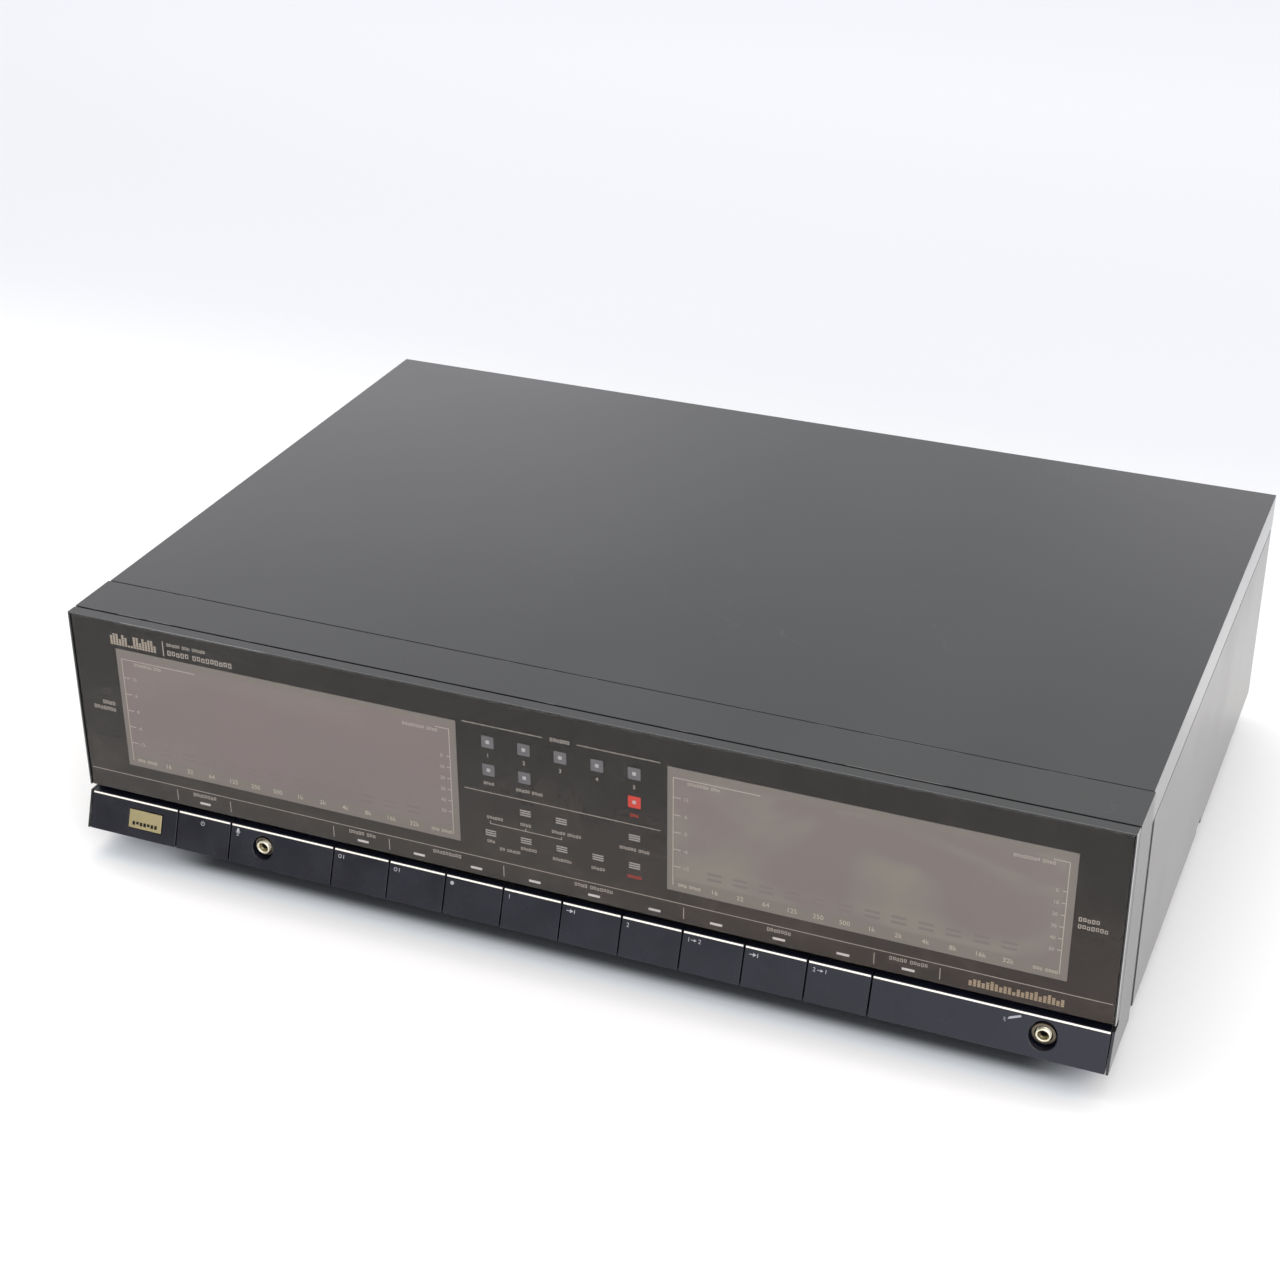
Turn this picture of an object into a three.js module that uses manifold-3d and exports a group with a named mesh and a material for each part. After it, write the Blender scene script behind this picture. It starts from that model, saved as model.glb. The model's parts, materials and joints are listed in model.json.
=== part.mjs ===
// Full-width graphic equalizer with a smoked face panel, two display windows and a
// row of leaning push keys. Millimetres, +Z up, +Y towards the rear panel.
// The finished group stands on its feet with the origin under the middle of its box.

import * as THREE from 'three';
import { mergeVertices } from 'three/addons/utils/BufferGeometryUtils.js';
import Module from 'manifold-3d';

const wasm = await Module();
wasm.setup();

// ---------------------------------------------------------------- driving dimensions

const WIDTH = 430;
const DEPTH = 306;
const BODY_HEIGHT = 99;
const FOOT_HEIGHT = 12;
const HALF_WIDTH = WIDTH / 2;

// Inside the unit group, Y is measured back from the face plane and Z up from the
// underside of the casing. KEY_LEAN is how far the foot of the key row stands forward.
const KEY_LEAN = 5.5;
const REAR_END = DEPTH - KEY_LEAN;

const GAP = 0.3;
const SEAM = 0.6;
const SHEET = 1.0;

// Front end
const FRAME_DEPTH = 4.9;
const BEZEL_FRONT = 5.2;
const BEZEL_REAR = 29.2;
const BEZEL_WALL = 2.2;
const FACE_BOTTOM = 18;
const FACE_RIM = 0.8;
const FACE_THICKNESS = 3;
const GROOVE_DEPTH = 1.2;
const GROOVE_REBATE = 0.6;

// Key row
const KEY_TOP = 15.3;
const KEY_REAR = 3;
const KEY_GAP = 0.6;
const KEY_BAY_REAR = 6;
const KEY_BAY_WALL = 8;
const KEY_BAY_SIDE = 1;
const KEY_PITCH = 25;
const KEY_STEM_Z = 7.5;
const KEY_STEM_REAR = 11;
const POWER_LEFT = -172.5;
const MIC_LEFT = -147.5;
const KEYS_LEFT = -100;
const PEN_LEFT = 125;
const KEY_ROW_END = HALF_WIDTH - KEY_BAY_SIDE - GAP;
const KEY_NAMES = [
  'key_noise_rec', 'key_eq_on', 'key_eq_rec', 'key_tape_1', 'key_tape_source',
  'key_tape_2', 'key_dub_1_to_2', 'key_dub_source', 'key_dub_2_to_1',
];

// Front jacks
const JACK_Z = 8.2;
const MIC_JACK_X = -132;
const PEN_JACK_X = 190;
const JACK_RECESS_RADIUS = 5.7;
const JACK_RECESS_FLOOR = 0.3;
const JACK_BUSH_RADIUS = 3.1;
const JACK_BORE_RADIUS = 1.8;
const JACK_NUT_RADIUS = 4.7;

// Display windows, one each side of the centre. The tubes stand behind the frame plate
// and reach DISPLAY_OVERLAP past their windows all round.
const DISPLAY_INNER = 43;
const DISPLAY_OUTER = 195;
const DISPLAY_BOTTOM = 31.3;
const DISPLAY_TOP = 85.7;
const DISPLAY_FRONT = 8.5;
const DISPLAY_THICKNESS = 5.4;
const DISPLAY_OVERLAP = 4;
const DISPLAY_BOARD_FRONT = DISPLAY_FRONT + DISPLAY_THICKNESS + 1.6;

// Light-pen targets between the displays, and the lamps above the key row
const TARGET_PITCH = 15;
const TARGET_WIDTH = 5;
const TARGET_FRONT = 3.6;
const SQUARE_ROWS = { upper: 79.1, lower: 66.7, height: 5.2 };
const BAR_ROWS = { upper: 50.9, lower: 38.3, height: 3 };
const CENTRE_WINDOW = { half: 36.5, bottom: 33, top: 85 };
const LAMP_Z = 20.9;
const LAMP_HEIGHT = 1.2;
const POWER_LAMP_X = -160;
const LAMP_ROW_START = -87.5;
const LAMP_SLOT = { left: -164, right: 142, bottom: 19, top: 23 };

// Casing behind the bezel
const CASE_HALF = 214.5;
const CASE_FRONT = BEZEL_REAR + SEAM;
const COVER_REAR = 292.4;
const SIDE_REAR = 290.9;
const COVER_LIP_BOTTOM = 83.5;
const SIDE_TOP = 83;
const REAR_PANEL_FRONT = 289.9;
const REAR_PANEL_BACK = 291.1;
const BOTTOM_TOP = 1.5;
const BOARD_LOW = 12;
const BOARD_THICKNESS = 1.6;
const COVER_SCREW_X = [-180, 0, 180];
const COVER_SCREW_Z = 91.5;
const FOOT_TAB = { front: 163, rear: 172, top: 2.6 };

// ---------------------------------------------------------------- colours

const finish = (color, roughness, metalness) =>
  new THREE.MeshStandardMaterial({ color, roughness, metalness });

const BLACK_PAINT = finish(0x3a3a3c, 0.45, 0.3);
const BEZEL_PLASTIC = finish(0x343436, 0.5, 0);
const SMOKED_ACRYLIC = finish(0x2a2926, 0.12, 0);
const KEY_PLASTIC = finish(0x2b2e3a, 0.42, 0);
const DISPLAY_GLASS = finish(0x8a7f7c, 0.3, 0);
const BADGE_GOLD = finish(0xb8a66e, 0.35, 0.9);
const JACK_METAL = finish(0xc9bd96, 0.3, 0.9);
const BLACK_PLASTIC = finish(0x1c1c1e, 0.6, 0);
const LAMP_WHITE = finish(0xb9bcc0, 0.5, 0);
const CIRCUIT_BOARD = finish(0x7a6a3c, 0.6, 0);
const ZINC_STEEL = finish(0xa8aaa8, 0.4, 0.8);
const RUBBER = finish(0x1a1a1a, 0.85, 0);
const SCREW_STEEL = finish(0x303032, 0.35, 0.9);

// ---------------------------------------------------------------- geometry helpers

const EXTRUDE_ALONG_X = new THREE.Matrix4().makeBasis(
  new THREE.Vector3(0, 1, 0), new THREE.Vector3(0, 0, 1), new THREE.Vector3(1, 0, 0));
const EXTRUDE_ALONG_MINUS_Y = new THREE.Matrix4().makeBasis(
  new THREE.Vector3(1, 0, 0), new THREE.Vector3(0, 0, 1), new THREE.Vector3(0, -1, 0));

function block(x0, x1, y0, y1, z0, z1) {
  const box = new THREE.BoxGeometry(x1 - x0, y1 - y0, z1 - z0);
  return box.translate((x0 + x1) / 2, (y0 + y1) / 2, (z0 + z1) / 2);
}

function outline(points) {
  return new THREE.Shape(points.map(([u, v]) => new THREE.Vector2(u, v)));
}

// A bar of constant section: points are [y, z], the bar runs from x0 to x1.
function barAlongX(points, x0, x1) {
  const bar = new THREE.ExtrudeGeometry(outline(points), { depth: x1 - x0, bevelEnabled: false });
  return bar.applyMatrix4(EXTRUDE_ALONG_X).translate(x0, 0, 0);
}

// A bar of constant section: points are [x, z], the bar runs from y0 to y1.
function barAlongY(points, y0, y1) {
  const bar = new THREE.ExtrudeGeometry(outline(points), { depth: y1 - y0, bevelEnabled: false });
  return bar.applyMatrix4(EXTRUDE_ALONG_MINUS_Y).translate(0, y1, 0);
}

function rodAlongY(radius, x, z, y0, y1, sides = 16) {
  const rod = new THREE.CylinderGeometry(radius, radius, y1 - y0, sides);
  return rod.translate(x, (y0 + y1) / 2, z);
}

function rodAlongZ(radius, x, y, z0, z1, sides = 16) {
  const rod = new THREE.CylinderGeometry(radius, radius, z1 - z0, sides);
  return rod.rotateX(Math.PI / 2).translate(x, y, (z0 + z1) / 2);
}

// A turned part on an axis along Y: profile points are [radius, y] and close on themselves.
function turnedAlongY(profile, x, z, sides = 20) {
  const points = [...profile, profile[0]].map(([r, y]) => new THREE.Vector2(r, y));
  return new THREE.LatheGeometry(points, sides).translate(x, 0, z);
}

function asSolid(geometry) {
  const bare = geometry.clone();
  bare.deleteAttribute('normal');
  bare.deleteAttribute('uv');
  const merged = mergeVertices(bare, 1e-4);
  return new wasm.Manifold(new wasm.Mesh({
    numProp: 3,
    vertProperties: new Float32Array(merged.attributes.position.array),
    triVerts: new Uint32Array(merged.index.array),
  }));
}

function asGeometry(solid) {
  const mesh = solid.getMesh();
  const geometry = new THREE.BufferGeometry();
  geometry.setAttribute('position', new THREE.BufferAttribute(mesh.vertProperties, 3));
  geometry.setIndex(new THREE.BufferAttribute(mesh.triVerts, 1));
  geometry.computeVertexNormals();
  return geometry;
}

// Joins the first list into one solid and cuts the second list out of it.
function carve(joined, removed = []) {
  let solid = asSolid(joined[0]);
  for (const extra of joined.slice(1)) {
    solid = solid.add(asSolid(extra));
  }
  for (const tool of removed) {
    solid = solid.subtract(asSolid(tool));
  }
  return asGeometry(solid);
}

const unit = new THREE.Group();
unit.position.set(0, KEY_LEAN - DEPTH / 2, FOOT_HEIGHT);

function piece(name, geometry, material) {
  const mesh = new THREE.Mesh(geometry, material);
  mesh.name = name;
  unit.add(mesh);
  return mesh;
}

// ---------------------------------------------------------------- bezel and face

// Both display openings, the centre opening and the lamp slot, cut through the plate
// behind the face panel.
function faceOpenings(y0, y1) {
  return [
    block(-DISPLAY_OUTER, -DISPLAY_INNER, y0, y1, DISPLAY_BOTTOM, DISPLAY_TOP),
    block(DISPLAY_INNER, DISPLAY_OUTER, y0, y1, DISPLAY_BOTTOM, DISPLAY_TOP),
    block(-CENTRE_WINDOW.half, CENTRE_WINDOW.half, y0, y1, CENTRE_WINDOW.bottom,
      CENTRE_WINDOW.top),
    block(LAMP_SLOT.left, LAMP_SLOT.right, y0, y1, LAMP_SLOT.bottom, LAMP_SLOT.top),
  ];
}

function makeFaceFrame() {
  const inner = HALF_WIDTH - FACE_RIM;
  const recessTop = BODY_HEIGHT - FACE_RIM + 0.2;
  const frame = carve(
    [block(-HALF_WIDTH, HALF_WIDTH, 0, FRAME_DEPTH, FACE_BOTTOM, BODY_HEIGHT)],
    [
      block(-inner, inner, -1, FACE_THICKNESS + GAP, FACE_BOTTOM - 1, recessTop),
      ...faceOpenings(FACE_THICKNESS, FRAME_DEPTH + 1),
    ]);
  piece('face_frame', frame, BEZEL_PLASTIC);

  const panelHalf = inner - GAP;
  const panel = block(-panelHalf, panelHalf, 0, FACE_THICKNESS, FACE_BOTTOM, recessTop - GAP);
  piece('face_panel', panel, SMOKED_ACRYLIC);
}

function makeBezel() {
  const bayHalf = HALF_WIDTH - KEY_BAY_SIDE;
  const cavityHalf = HALF_WIDTH - BEZEL_WALL;
  const cavityTop = BODY_HEIGHT - 2.5;
  const shelf = FACE_BOTTOM + 1.5;
  const silhouette = [
    [BEZEL_FRONT + GROOVE_REBATE, BODY_HEIGHT], [BEZEL_REAR, BODY_HEIGHT], [BEZEL_REAR, 0],
    [-KEY_LEAN, 0], [0, KEY_TOP], [BEZEL_FRONT, KEY_TOP],
    [BEZEL_FRONT, BODY_HEIGHT - GROOVE_DEPTH],
    [BEZEL_FRONT + GROOVE_REBATE, BODY_HEIGHT - GROOVE_DEPTH],
  ];
  const keyCentres = KEY_NAMES.map((_, i) => KEYS_LEFT + (i + 0.5) * KEY_PITCH);
  const stemHoles = [POWER_LEFT + KEY_PITCH / 2, ...keyCentres].map((x) =>
    block(x - 5, x + 5, KEY_BAY_REAR - 1, KEY_BAY_WALL + 1, KEY_STEM_Z - 3, KEY_STEM_Z + 3));
  const jackHoles = [MIC_JACK_X, PEN_JACK_X].map((x) =>
    rodAlongY(JACK_BUSH_RADIUS + 1, x, JACK_Z, KEY_BAY_REAR - 1, KEY_BAY_WALL + 1));
  const bezel = carve(
    [barAlongX(silhouette, -HALF_WIDTH, HALF_WIDTH)],
    [
      block(-bayHalf, bayHalf, -KEY_LEAN - 1, KEY_BAY_REAR, -1, KEY_TOP + 0.1),
      block(-cavityHalf, cavityHalf, KEY_BAY_WALL, BEZEL_REAR + 1, BEZEL_WALL, cavityTop),
      block(-cavityHalf, cavityHalf, 0, KEY_BAY_WALL + 1, shelf, cavityTop),
      ...stemHoles,
      ...jackHoles,
    ]);
  piece('front_bezel', bezel, BEZEL_PLASTIC);
}

// ---------------------------------------------------------------- displays and lamps

function makeDisplays() {
  const inner = DISPLAY_INNER - DISPLAY_OVERLAP;
  const outer = DISPLAY_OUTER + DISPLAY_OVERLAP;
  const low = DISPLAY_BOTTOM - DISPLAY_OVERLAP;
  const high = DISPLAY_TOP + DISPLAY_OVERLAP;
  const back = DISPLAY_FRONT + DISPLAY_THICKNESS;
  piece('display_left', block(-outer, -inner, DISPLAY_FRONT, back, low, high), DISPLAY_GLASS);
  piece('display_right', block(inner, outer, DISPLAY_FRONT, back, low, high), DISPLAY_GLASS);

  const boardFront = DISPLAY_BOARD_FRONT;
  const spacerWidth = 6;
  const spacerBars = [-outer + 6, -inner - 12, inner + 6, outer - 12].map((x) =>
    block(x, x + spacerWidth, back + GAP, boardFront + 0.5, low + 4, high - 4));
  const driverChips = [-150, 110].map((x) =>
    block(x, x + 40, boardFront + 1, boardFront + 5, 50, 62));
  const board = carve([
    block(-206, 206, boardFront, boardFront + BOARD_THICKNESS, 24, 93),
    ...spacerBars,
    ...driverChips,
  ]);
  piece('display_board', board, CIRCUIT_BOARD);
}

// Square light-pen targets above, small striped targets below, on one moulded block.
// Columns count from the left one, TARGET_PITCH apart and centred on the unit.
function makePenTargets() {
  const target = ([column, z], height) => {
    const x = (column - 2) * TARGET_PITCH;
    return block(x - TARGET_WIDTH / 2, x + TARGET_WIDTH / 2, TARGET_FRONT, 7,
      z - height / 2, z + height / 2);
  };
  const squares = [
    ...[0, 1, 2, 3, 4].map((column) => [column, SQUARE_ROWS.upper]),
    ...[0, 1, 4].map((column) => [column, SQUARE_ROWS.lower]),
  ].map((place) => target(place, SQUARE_ROWS.height));
  const bars = [
    ...[1, 2, 4].map((column) => [column, BAR_ROWS.upper]),
    ...[0, 1, 2, 3, 4].map((column) => [column, BAR_ROWS.lower]),
  ].map((place) => target(place, BAR_ROWS.height));
  const half = CENTRE_WINDOW.half - 1;
  const base = block(-half, half, 6, 12, CENTRE_WINDOW.bottom + 1, CENTRE_WINDOW.top - 1);
  piece('pen_target_block', carve([base, ...squares, ...bars]), BLACK_PLASTIC);
}

function makeIndicators() {
  const lampX = [POWER_LAMP_X];
  for (let i = 0; i < 10; i += 1) {
    lampX.push(LAMP_ROW_START + i * KEY_PITCH);
  }
  const lamps = lampX.map((x) => block(x - TARGET_WIDTH / 2, x + TARGET_WIDTH / 2,
    TARGET_FRONT, 7, LAMP_Z - LAMP_HEIGHT / 2, LAMP_Z + LAMP_HEIGHT / 2));
  const base = block(LAMP_SLOT.left + 1, LAMP_SLOT.right - 1, 6, 9.5,
    LAMP_SLOT.bottom + 0.5, LAMP_SLOT.top - 0.5);
  piece('indicator_strip', carve([base, ...lamps]), LAMP_WHITE);
}

// ---------------------------------------------------------------- key row

// Section of every key and block: the front leans out by KEY_LEAN at its foot.
function keySection(rear) {
  return [[0, KEY_TOP], [-KEY_LEAN, 0], [rear, 0], [rear, KEY_TOP]];
}

function makeKey(name, left) {
  const right = left + KEY_PITCH;
  const centre = left + KEY_PITCH / 2;
  const cap = barAlongX(keySection(KEY_REAR), left + KEY_GAP / 2, right - KEY_GAP / 2);
  const stem = block(centre - 4, centre + 4, KEY_REAR - 1, KEY_STEM_REAR,
    KEY_STEM_Z - 2, KEY_STEM_Z + 2);
  piece(name, carve([cap, stem]), KEY_PLASTIC);
}

function makeKeys() {
  makeKey('key_power', POWER_LEFT);
  KEY_NAMES.forEach((name, i) => makeKey(name, KEYS_LEFT + i * KEY_PITCH));
}

function makeBadgeBlock() {
  const slope = Math.atan2(KEY_LEAN, KEY_TOP);
  const badge = { x: -187.7, width: 15.5, height: 7.8, thickness: 0.6, along: 8.2 };
  const onSlope = (width, height, y0, y1) => {
    const slab = block(-width / 2, width / 2, y0, y1, badge.along - height / 2,
      badge.along + height / 2);
    return slab.rotateX(-slope).translate(badge.x, -KEY_LEAN, 0);
  };
  const body = barAlongX(keySection(KEY_BAY_REAR - GAP), -KEY_ROW_END, POWER_LEFT - KEY_GAP / 2);
  const recess = onSlope(badge.width + 2 * GAP, badge.height + 2 * GAP, -1, badge.thickness);
  piece('badge_block', carve([body], [recess]), KEY_PLASTIC);
  piece('badge_plate', onSlope(badge.width, badge.height, -GAP, GAP), BADGE_GOLD);
}

// A fixed block with a round recess and a hole for its jack.
function makeJackPanel(name, x0, x1, jackX) {
  const body = barAlongX(keySection(KEY_BAY_REAR - GAP), x0, x1);
  const recess = rodAlongY(JACK_RECESS_RADIUS, jackX, JACK_Z, -KEY_LEAN - 1,
    JACK_RECESS_FLOOR, 28);
  const hole = rodAlongY(JACK_BUSH_RADIUS + GAP, jackX, JACK_Z, -1, KEY_BAY_REAR + 1);
  piece(`${name}_panel`, carve([body], [recess, hole]), KEY_PLASTIC);
}

function makeJack(name, jackX) {
  const bushFront = -1.6;
  const bodyFront = KEY_BAY_WALL + GAP;
  const bush = rodAlongY(JACK_BUSH_RADIUS, jackX, JACK_Z, bushFront, bodyFront + 1, 20);
  const body = block(jackX - 5, jackX + 5, bodyFront, bodyFront + 13, 2.7, 13.7);
  const bore = rodAlongY(JACK_BORE_RADIUS, jackX, JACK_Z, bushFront - 1, bodyFront + 11);
  piece(`${name}_jack`, carve([bush, body], [bore]), JACK_METAL);

  const nut = turnedAlongY([
    [JACK_BUSH_RADIUS + GAP, -1.0], [JACK_NUT_RADIUS - 0.4, -1.0], [JACK_NUT_RADIUS, -0.6],
    [JACK_NUT_RADIUS, 0], [JACK_BUSH_RADIUS + GAP, 0],
  ], jackX, JACK_Z);
  piece(`${name}_jack_nut`, nut, JACK_METAL);
}

function makeFixedBlocks() {
  makeBadgeBlock();
  makeJackPanel('mic', MIC_LEFT + KEY_GAP / 2, KEYS_LEFT - KEY_GAP / 2, MIC_JACK_X);
  makeJackPanel('pen', PEN_LEFT + KEY_GAP / 2, KEY_ROW_END, PEN_JACK_X);
  makeJack('mic', MIC_JACK_X);
  makeJack('pen', PEN_JACK_X);
}

function makeKeySwitches() {
  const boardFront = 16.2;
  const touchFront = 13.4;
  const touches = KEY_NAMES.map((_, i) => {
    const x = KEYS_LEFT + (i + 0.5) * KEY_PITCH;
    return block(x - 3, x + 3, touchFront, boardFront + 0.5, KEY_STEM_Z - 3, KEY_STEM_Z + 3);
  });
  const board = block(KEYS_LEFT + 2, PEN_LEFT - 2, boardFront, boardFront + BOARD_THICKNESS, 3, 15);
  piece('key_board', carve([board, ...touches]), CIRCUIT_BOARD);

  const x = POWER_LEFT + KEY_PITCH / 2;
  const body = block(x - 6, x + 6, 15, 25.5, 2.8, 13.8);
  const plunger = block(x - 2, x + 2, 13.8, 16, KEY_STEM_Z - 2, KEY_STEM_Z + 2);
  piece('power_switch', carve([body, plunger]), BLACK_PLASTIC);
}

function makeFrontBracket() {
  const y0 = 26.4;
  const y1 = y0 + SHEET;
  const slots = [-120, 0, 120].map((x) => block(x - 15, x + 15, y0 - 1, y1 + 1, 30, 42));
  const keyCableSlot = block(10, 34, y0 - 1, y1 + 1, 5, 11);
  const powerCableHole = block(-178, -170, y0 - 1, y1 + 1, 6, 12);
  const plate = block(-211, 211, y0, y1, 3, 95.5);
  piece('front_bracket', carve([plate], [...slots, keyCableSlot, powerCableHole]), ZINC_STEEL);
}

// ---------------------------------------------------------------- casing

function makeTopCover() {
  const inner = CASE_HALF - SHEET;
  const section = [
    [-CASE_HALF, COVER_LIP_BOTTOM], [-CASE_HALF, BODY_HEIGHT], [CASE_HALF, BODY_HEIGHT],
    [CASE_HALF, COVER_LIP_BOTTOM], [inner, COVER_LIP_BOTTOM], [inner, BODY_HEIGHT - SHEET],
    [-inner, BODY_HEIGHT - SHEET], [-inner, COVER_LIP_BOTTOM],
  ];
  const shell = barAlongY(section, CASE_FRONT, COVER_REAR);
  const rearLip = block(-inner - 0.5, inner + 0.5, COVER_REAR - SHEET, COVER_REAR, 86,
    BODY_HEIGHT - 0.5);
  const screwHoles = COVER_SCREW_X.map((x) =>
    rodAlongY(2, x, COVER_SCREW_Z, COVER_REAR - SHEET - 1, COVER_REAR + 1, 12));
  piece('top_cover', carve([shell, rearLip], screwHoles), BLACK_PAINT);
}

// Outer wall with a joggled tongue that stands inside the lip of the cover.
function makeSidePanel(name, side) {
  const outer = CASE_HALF;
  const inner = CASE_HALF - SHEET;
  const tongueOut = inner - GAP;
  const tongueIn = tongueOut - SHEET;
  const section = [
    [outer, 0], [outer, SIDE_TOP], [tongueOut, SIDE_TOP], [tongueOut, 94], [tongueIn, 94],
    [tongueIn, SIDE_TOP - SHEET], [inner, SIDE_TOP - SHEET], [inner, 0],
  ].map(([x, z]) => [side * x, z]);
  const wall = barAlongY(section, CASE_FRONT, SIDE_REAR);
  const low = Math.min(side * inner, side * outer) - 1;
  const tabNotch = block(low, low + SHEET + 2, FOOT_TAB.front, FOOT_TAB.rear, -1, FOOT_TAB.top);
  piece(name, carve([wall], [tabNotch]), BLACK_PAINT);
}

function makeBottomPlate() {
  const half = CASE_HALF - SHEET - GAP;
  const plate = block(-half, half, CASE_FRONT, REAR_PANEL_FRONT - GAP, GAP, BOTTOM_TOP);
  const tabs = [-1, 1].map((side) => {
    const edge = side * (half + 0.9);
    return block(Math.min(0, edge), Math.max(0, edge), FOOT_TAB.front + GAP,
      FOOT_TAB.rear - GAP, GAP, BOTTOM_TOP);
  });
  const posts = [
    [-85, 80], [-85, 265], [55, 80], [55, 265], [195, 80], [195, 265],
    [-195, 68], [-115, 68], [-195, 172], [-115, 172],
  ].map(([x, y]) => rodAlongZ(4, x, y, 1, BOARD_LOW - GAP, 10));
  const vents = [];
  for (let i = 0; i < 9; i += 1) {
    vents.push(block(20 + i * 14, 24 + i * 14, 120, 160, -1, 3));
    vents.push(block(-172 + i * 8, -168 + i * 8, 195, 203, -1, 3));
  }
  piece('bottom_plate', carve([plate, ...tabs, ...posts], vents), ZINC_STEEL);
}

const JACK_BLOCKS = [['line_jacks', 60], ['tape_1_jacks', 110], ['tape_2_jacks', 160]];
const REAR_JACK_PITCH = 14;
const REAR_JACK_Z = 38;
const REAR_JACK_RADIUS = 4.15;
const GLAND = { x: -180, z: 32, hole: 6.4, bore: 3.6, flange: 8.6 };

function rearJackCentres(x) {
  const half = REAR_JACK_PITCH / 2;
  return [[x - half, REAR_JACK_Z - half], [x + half, REAR_JACK_Z - half],
    [x - half, REAR_JACK_Z + half], [x + half, REAR_JACK_Z + half]];
}

function makeRearPanel() {
  const half = CASE_HALF - SHEET - GAP;
  const y0 = REAR_PANEL_FRONT;
  const y1 = REAR_PANEL_BACK;
  const shoulder = SIDE_TOP - SHEET - GAP;
  const plate = block(-half, half, y0, y1, GAP, shoulder);
  const tongue = block(-205, 205, y0, y1, shoulder - 1, 97);
  const holes = [rodAlongY(GLAND.hole + GAP, GLAND.x, GLAND.z, y0 - 1, y1 + 1, 20)];
  for (const [, x] of JACK_BLOCKS) {
    for (const [jx, jz] of rearJackCentres(x)) {
      holes.push(rodAlongY(5, jx, jz, y0 - 1, y1 + 1, 16));
    }
  }
  for (const x of COVER_SCREW_X) {
    holes.push(rodAlongY(1.7, x, COVER_SCREW_Z, y0 - 1, y1 + 1, 12));
  }
  for (let i = 0; i < 12; i += 1) {
    holes.push(block(-140 + i * 7, -137 + i * 7, y0 - 1, y1 + 1, 56, 76));
  }
  piece('rear_panel', carve([plate, tongue], holes), BLACK_PAINT);
}

function makeRearJacks() {
  const bodyBack = REAR_PANEL_FRONT - GAP;
  for (const [name, x] of JACK_BLOCKS) {
    const body = block(x - 15, x + 15, bodyBack - 12, bodyBack, REAR_JACK_Z - 15,
      REAR_JACK_Z + 15);
    const barrels = rearJackCentres(x).map(([jx, jz]) =>
      rodAlongY(REAR_JACK_RADIUS, jx, jz, bodyBack - 1, REAR_END, 14));
    const pinHoles = rearJackCentres(x).map(([jx, jz]) =>
      rodAlongY(1.6, jx, jz, REAR_END - 8, REAR_END + 1, 8));
    piece(name, carve([body, ...barrels], pinHoles), BLACK_PLASTIC);
  }
}

function makeCordGland() {
  const { x, z, hole, bore, flange } = GLAND;
  const inside = REAR_PANEL_FRONT - GAP;
  const outside = REAR_PANEL_BACK + GAP;
  const gland = turnedAlongY([
    [bore, inside - 4], [hole + 1, inside - 4], [hole + 1, inside], [hole, inside],
    [hole, outside], [flange, outside], [flange, outside + 1.6], [hole, outside + 4],
    [bore, outside + 4],
  ], x, z);
  piece('cord_gland', gland, BLACK_PLASTIC);
}

function makeCoverScrews() {
  const z = COVER_SCREW_Z;
  COVER_SCREW_X.forEach((x, i) => {
    const front = COVER_REAR + GAP;
    const head = rodAlongY(3.4, x, z, front, front + 1.8, 16);
    const shank = rodAlongY(1.4, x, z, front - 8, front + 0.5, 10);
    const slot = block(x - 2.2, x + 2.2, front + 1, front + 3, z - 0.4, z + 0.4);
    const cross = block(x - 0.4, x + 0.4, front + 1, front + 3, z - 2.2, z + 2.2);
    piece(`cover_screw_${i + 1}`, carve([head, shank], [slot, cross]), SCREW_STEEL);
  });
}

function makeFeet() {
  const places = [['front_left', -175, 48], ['front_right', 175, 48],
    ['rear_left', -175, 262], ['rear_right', 175, 262]];
  const profile = [[0, -FOOT_HEIGHT], [15.5, -FOOT_HEIGHT], [17, -FOOT_HEIGHT + 1.5],
    [18.5, -1.2], [18.5, 0], [0, 0]];
  for (const [name, x, y] of places) {
    const points = profile.map(([r, z]) => new THREE.Vector2(r, z));
    const foot = new THREE.LatheGeometry(points, 28).rotateX(Math.PI / 2).translate(x, y, 0);
    piece(`foot_${name}`, foot, RUBBER);
  }
}

// ---------------------------------------------------------------- electronics

// A circuit board lying flat with a row-and-column field of integrated circuits on it.
function flatBoard(x0, x1, y0, y1, z0, chips) {
  const top = z0 + BOARD_THICKNESS;
  const board = block(x0, x1, y0, y1, z0, top);
  const bodies = chips.map(([x, y, w, d, h]) => block(x, x + w, y, y + d, top - 0.5, top + h));
  return carve([board, ...bodies]);
}

function makeMainBoard() {
  const chips = [];
  for (let row = 0; row < 3; row += 1) {
    for (let column = 0; column < 6; column += 1) {
      chips.push([-70 + column * 44, 95 + row * 40, 20, 8, 4.5]);
    }
  }
  chips.push([-60, 225, 30, 12, 11], [0, 225, 30, 12, 11]);
  piece('main_board', flatBoard(-95, 205, 70, 275, BOARD_LOW, chips), CIRCUIT_BOARD);
}

function makeControlBoard() {
  const z = 52;
  const chips = [[-30, 70, 52, 15, 5], [40, 70, 52, 15, 5], [110, 70, 36, 15, 5],
    [-30, 100, 20, 8, 4.5], [10, 100, 20, 8, 4.5], [50, 100, 20, 8, 4.5], [110, 104, 12, 5, 9]];
  piece('control_board', flatBoard(-60, 180, 50, 130, z, chips), CIRCUIT_BOARD);

  const low = BOARD_LOW + BOARD_THICKNESS + GAP;
  const places = [[-52, 84], [172, 84], [-52, 122], [172, 122]];
  places.forEach(([x, y], i) => {
    piece(`board_spacer_${i + 1}`, rodAlongZ(3, x, y, low, z - GAP, 6), ZINC_STEEL);
  });
}

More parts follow.
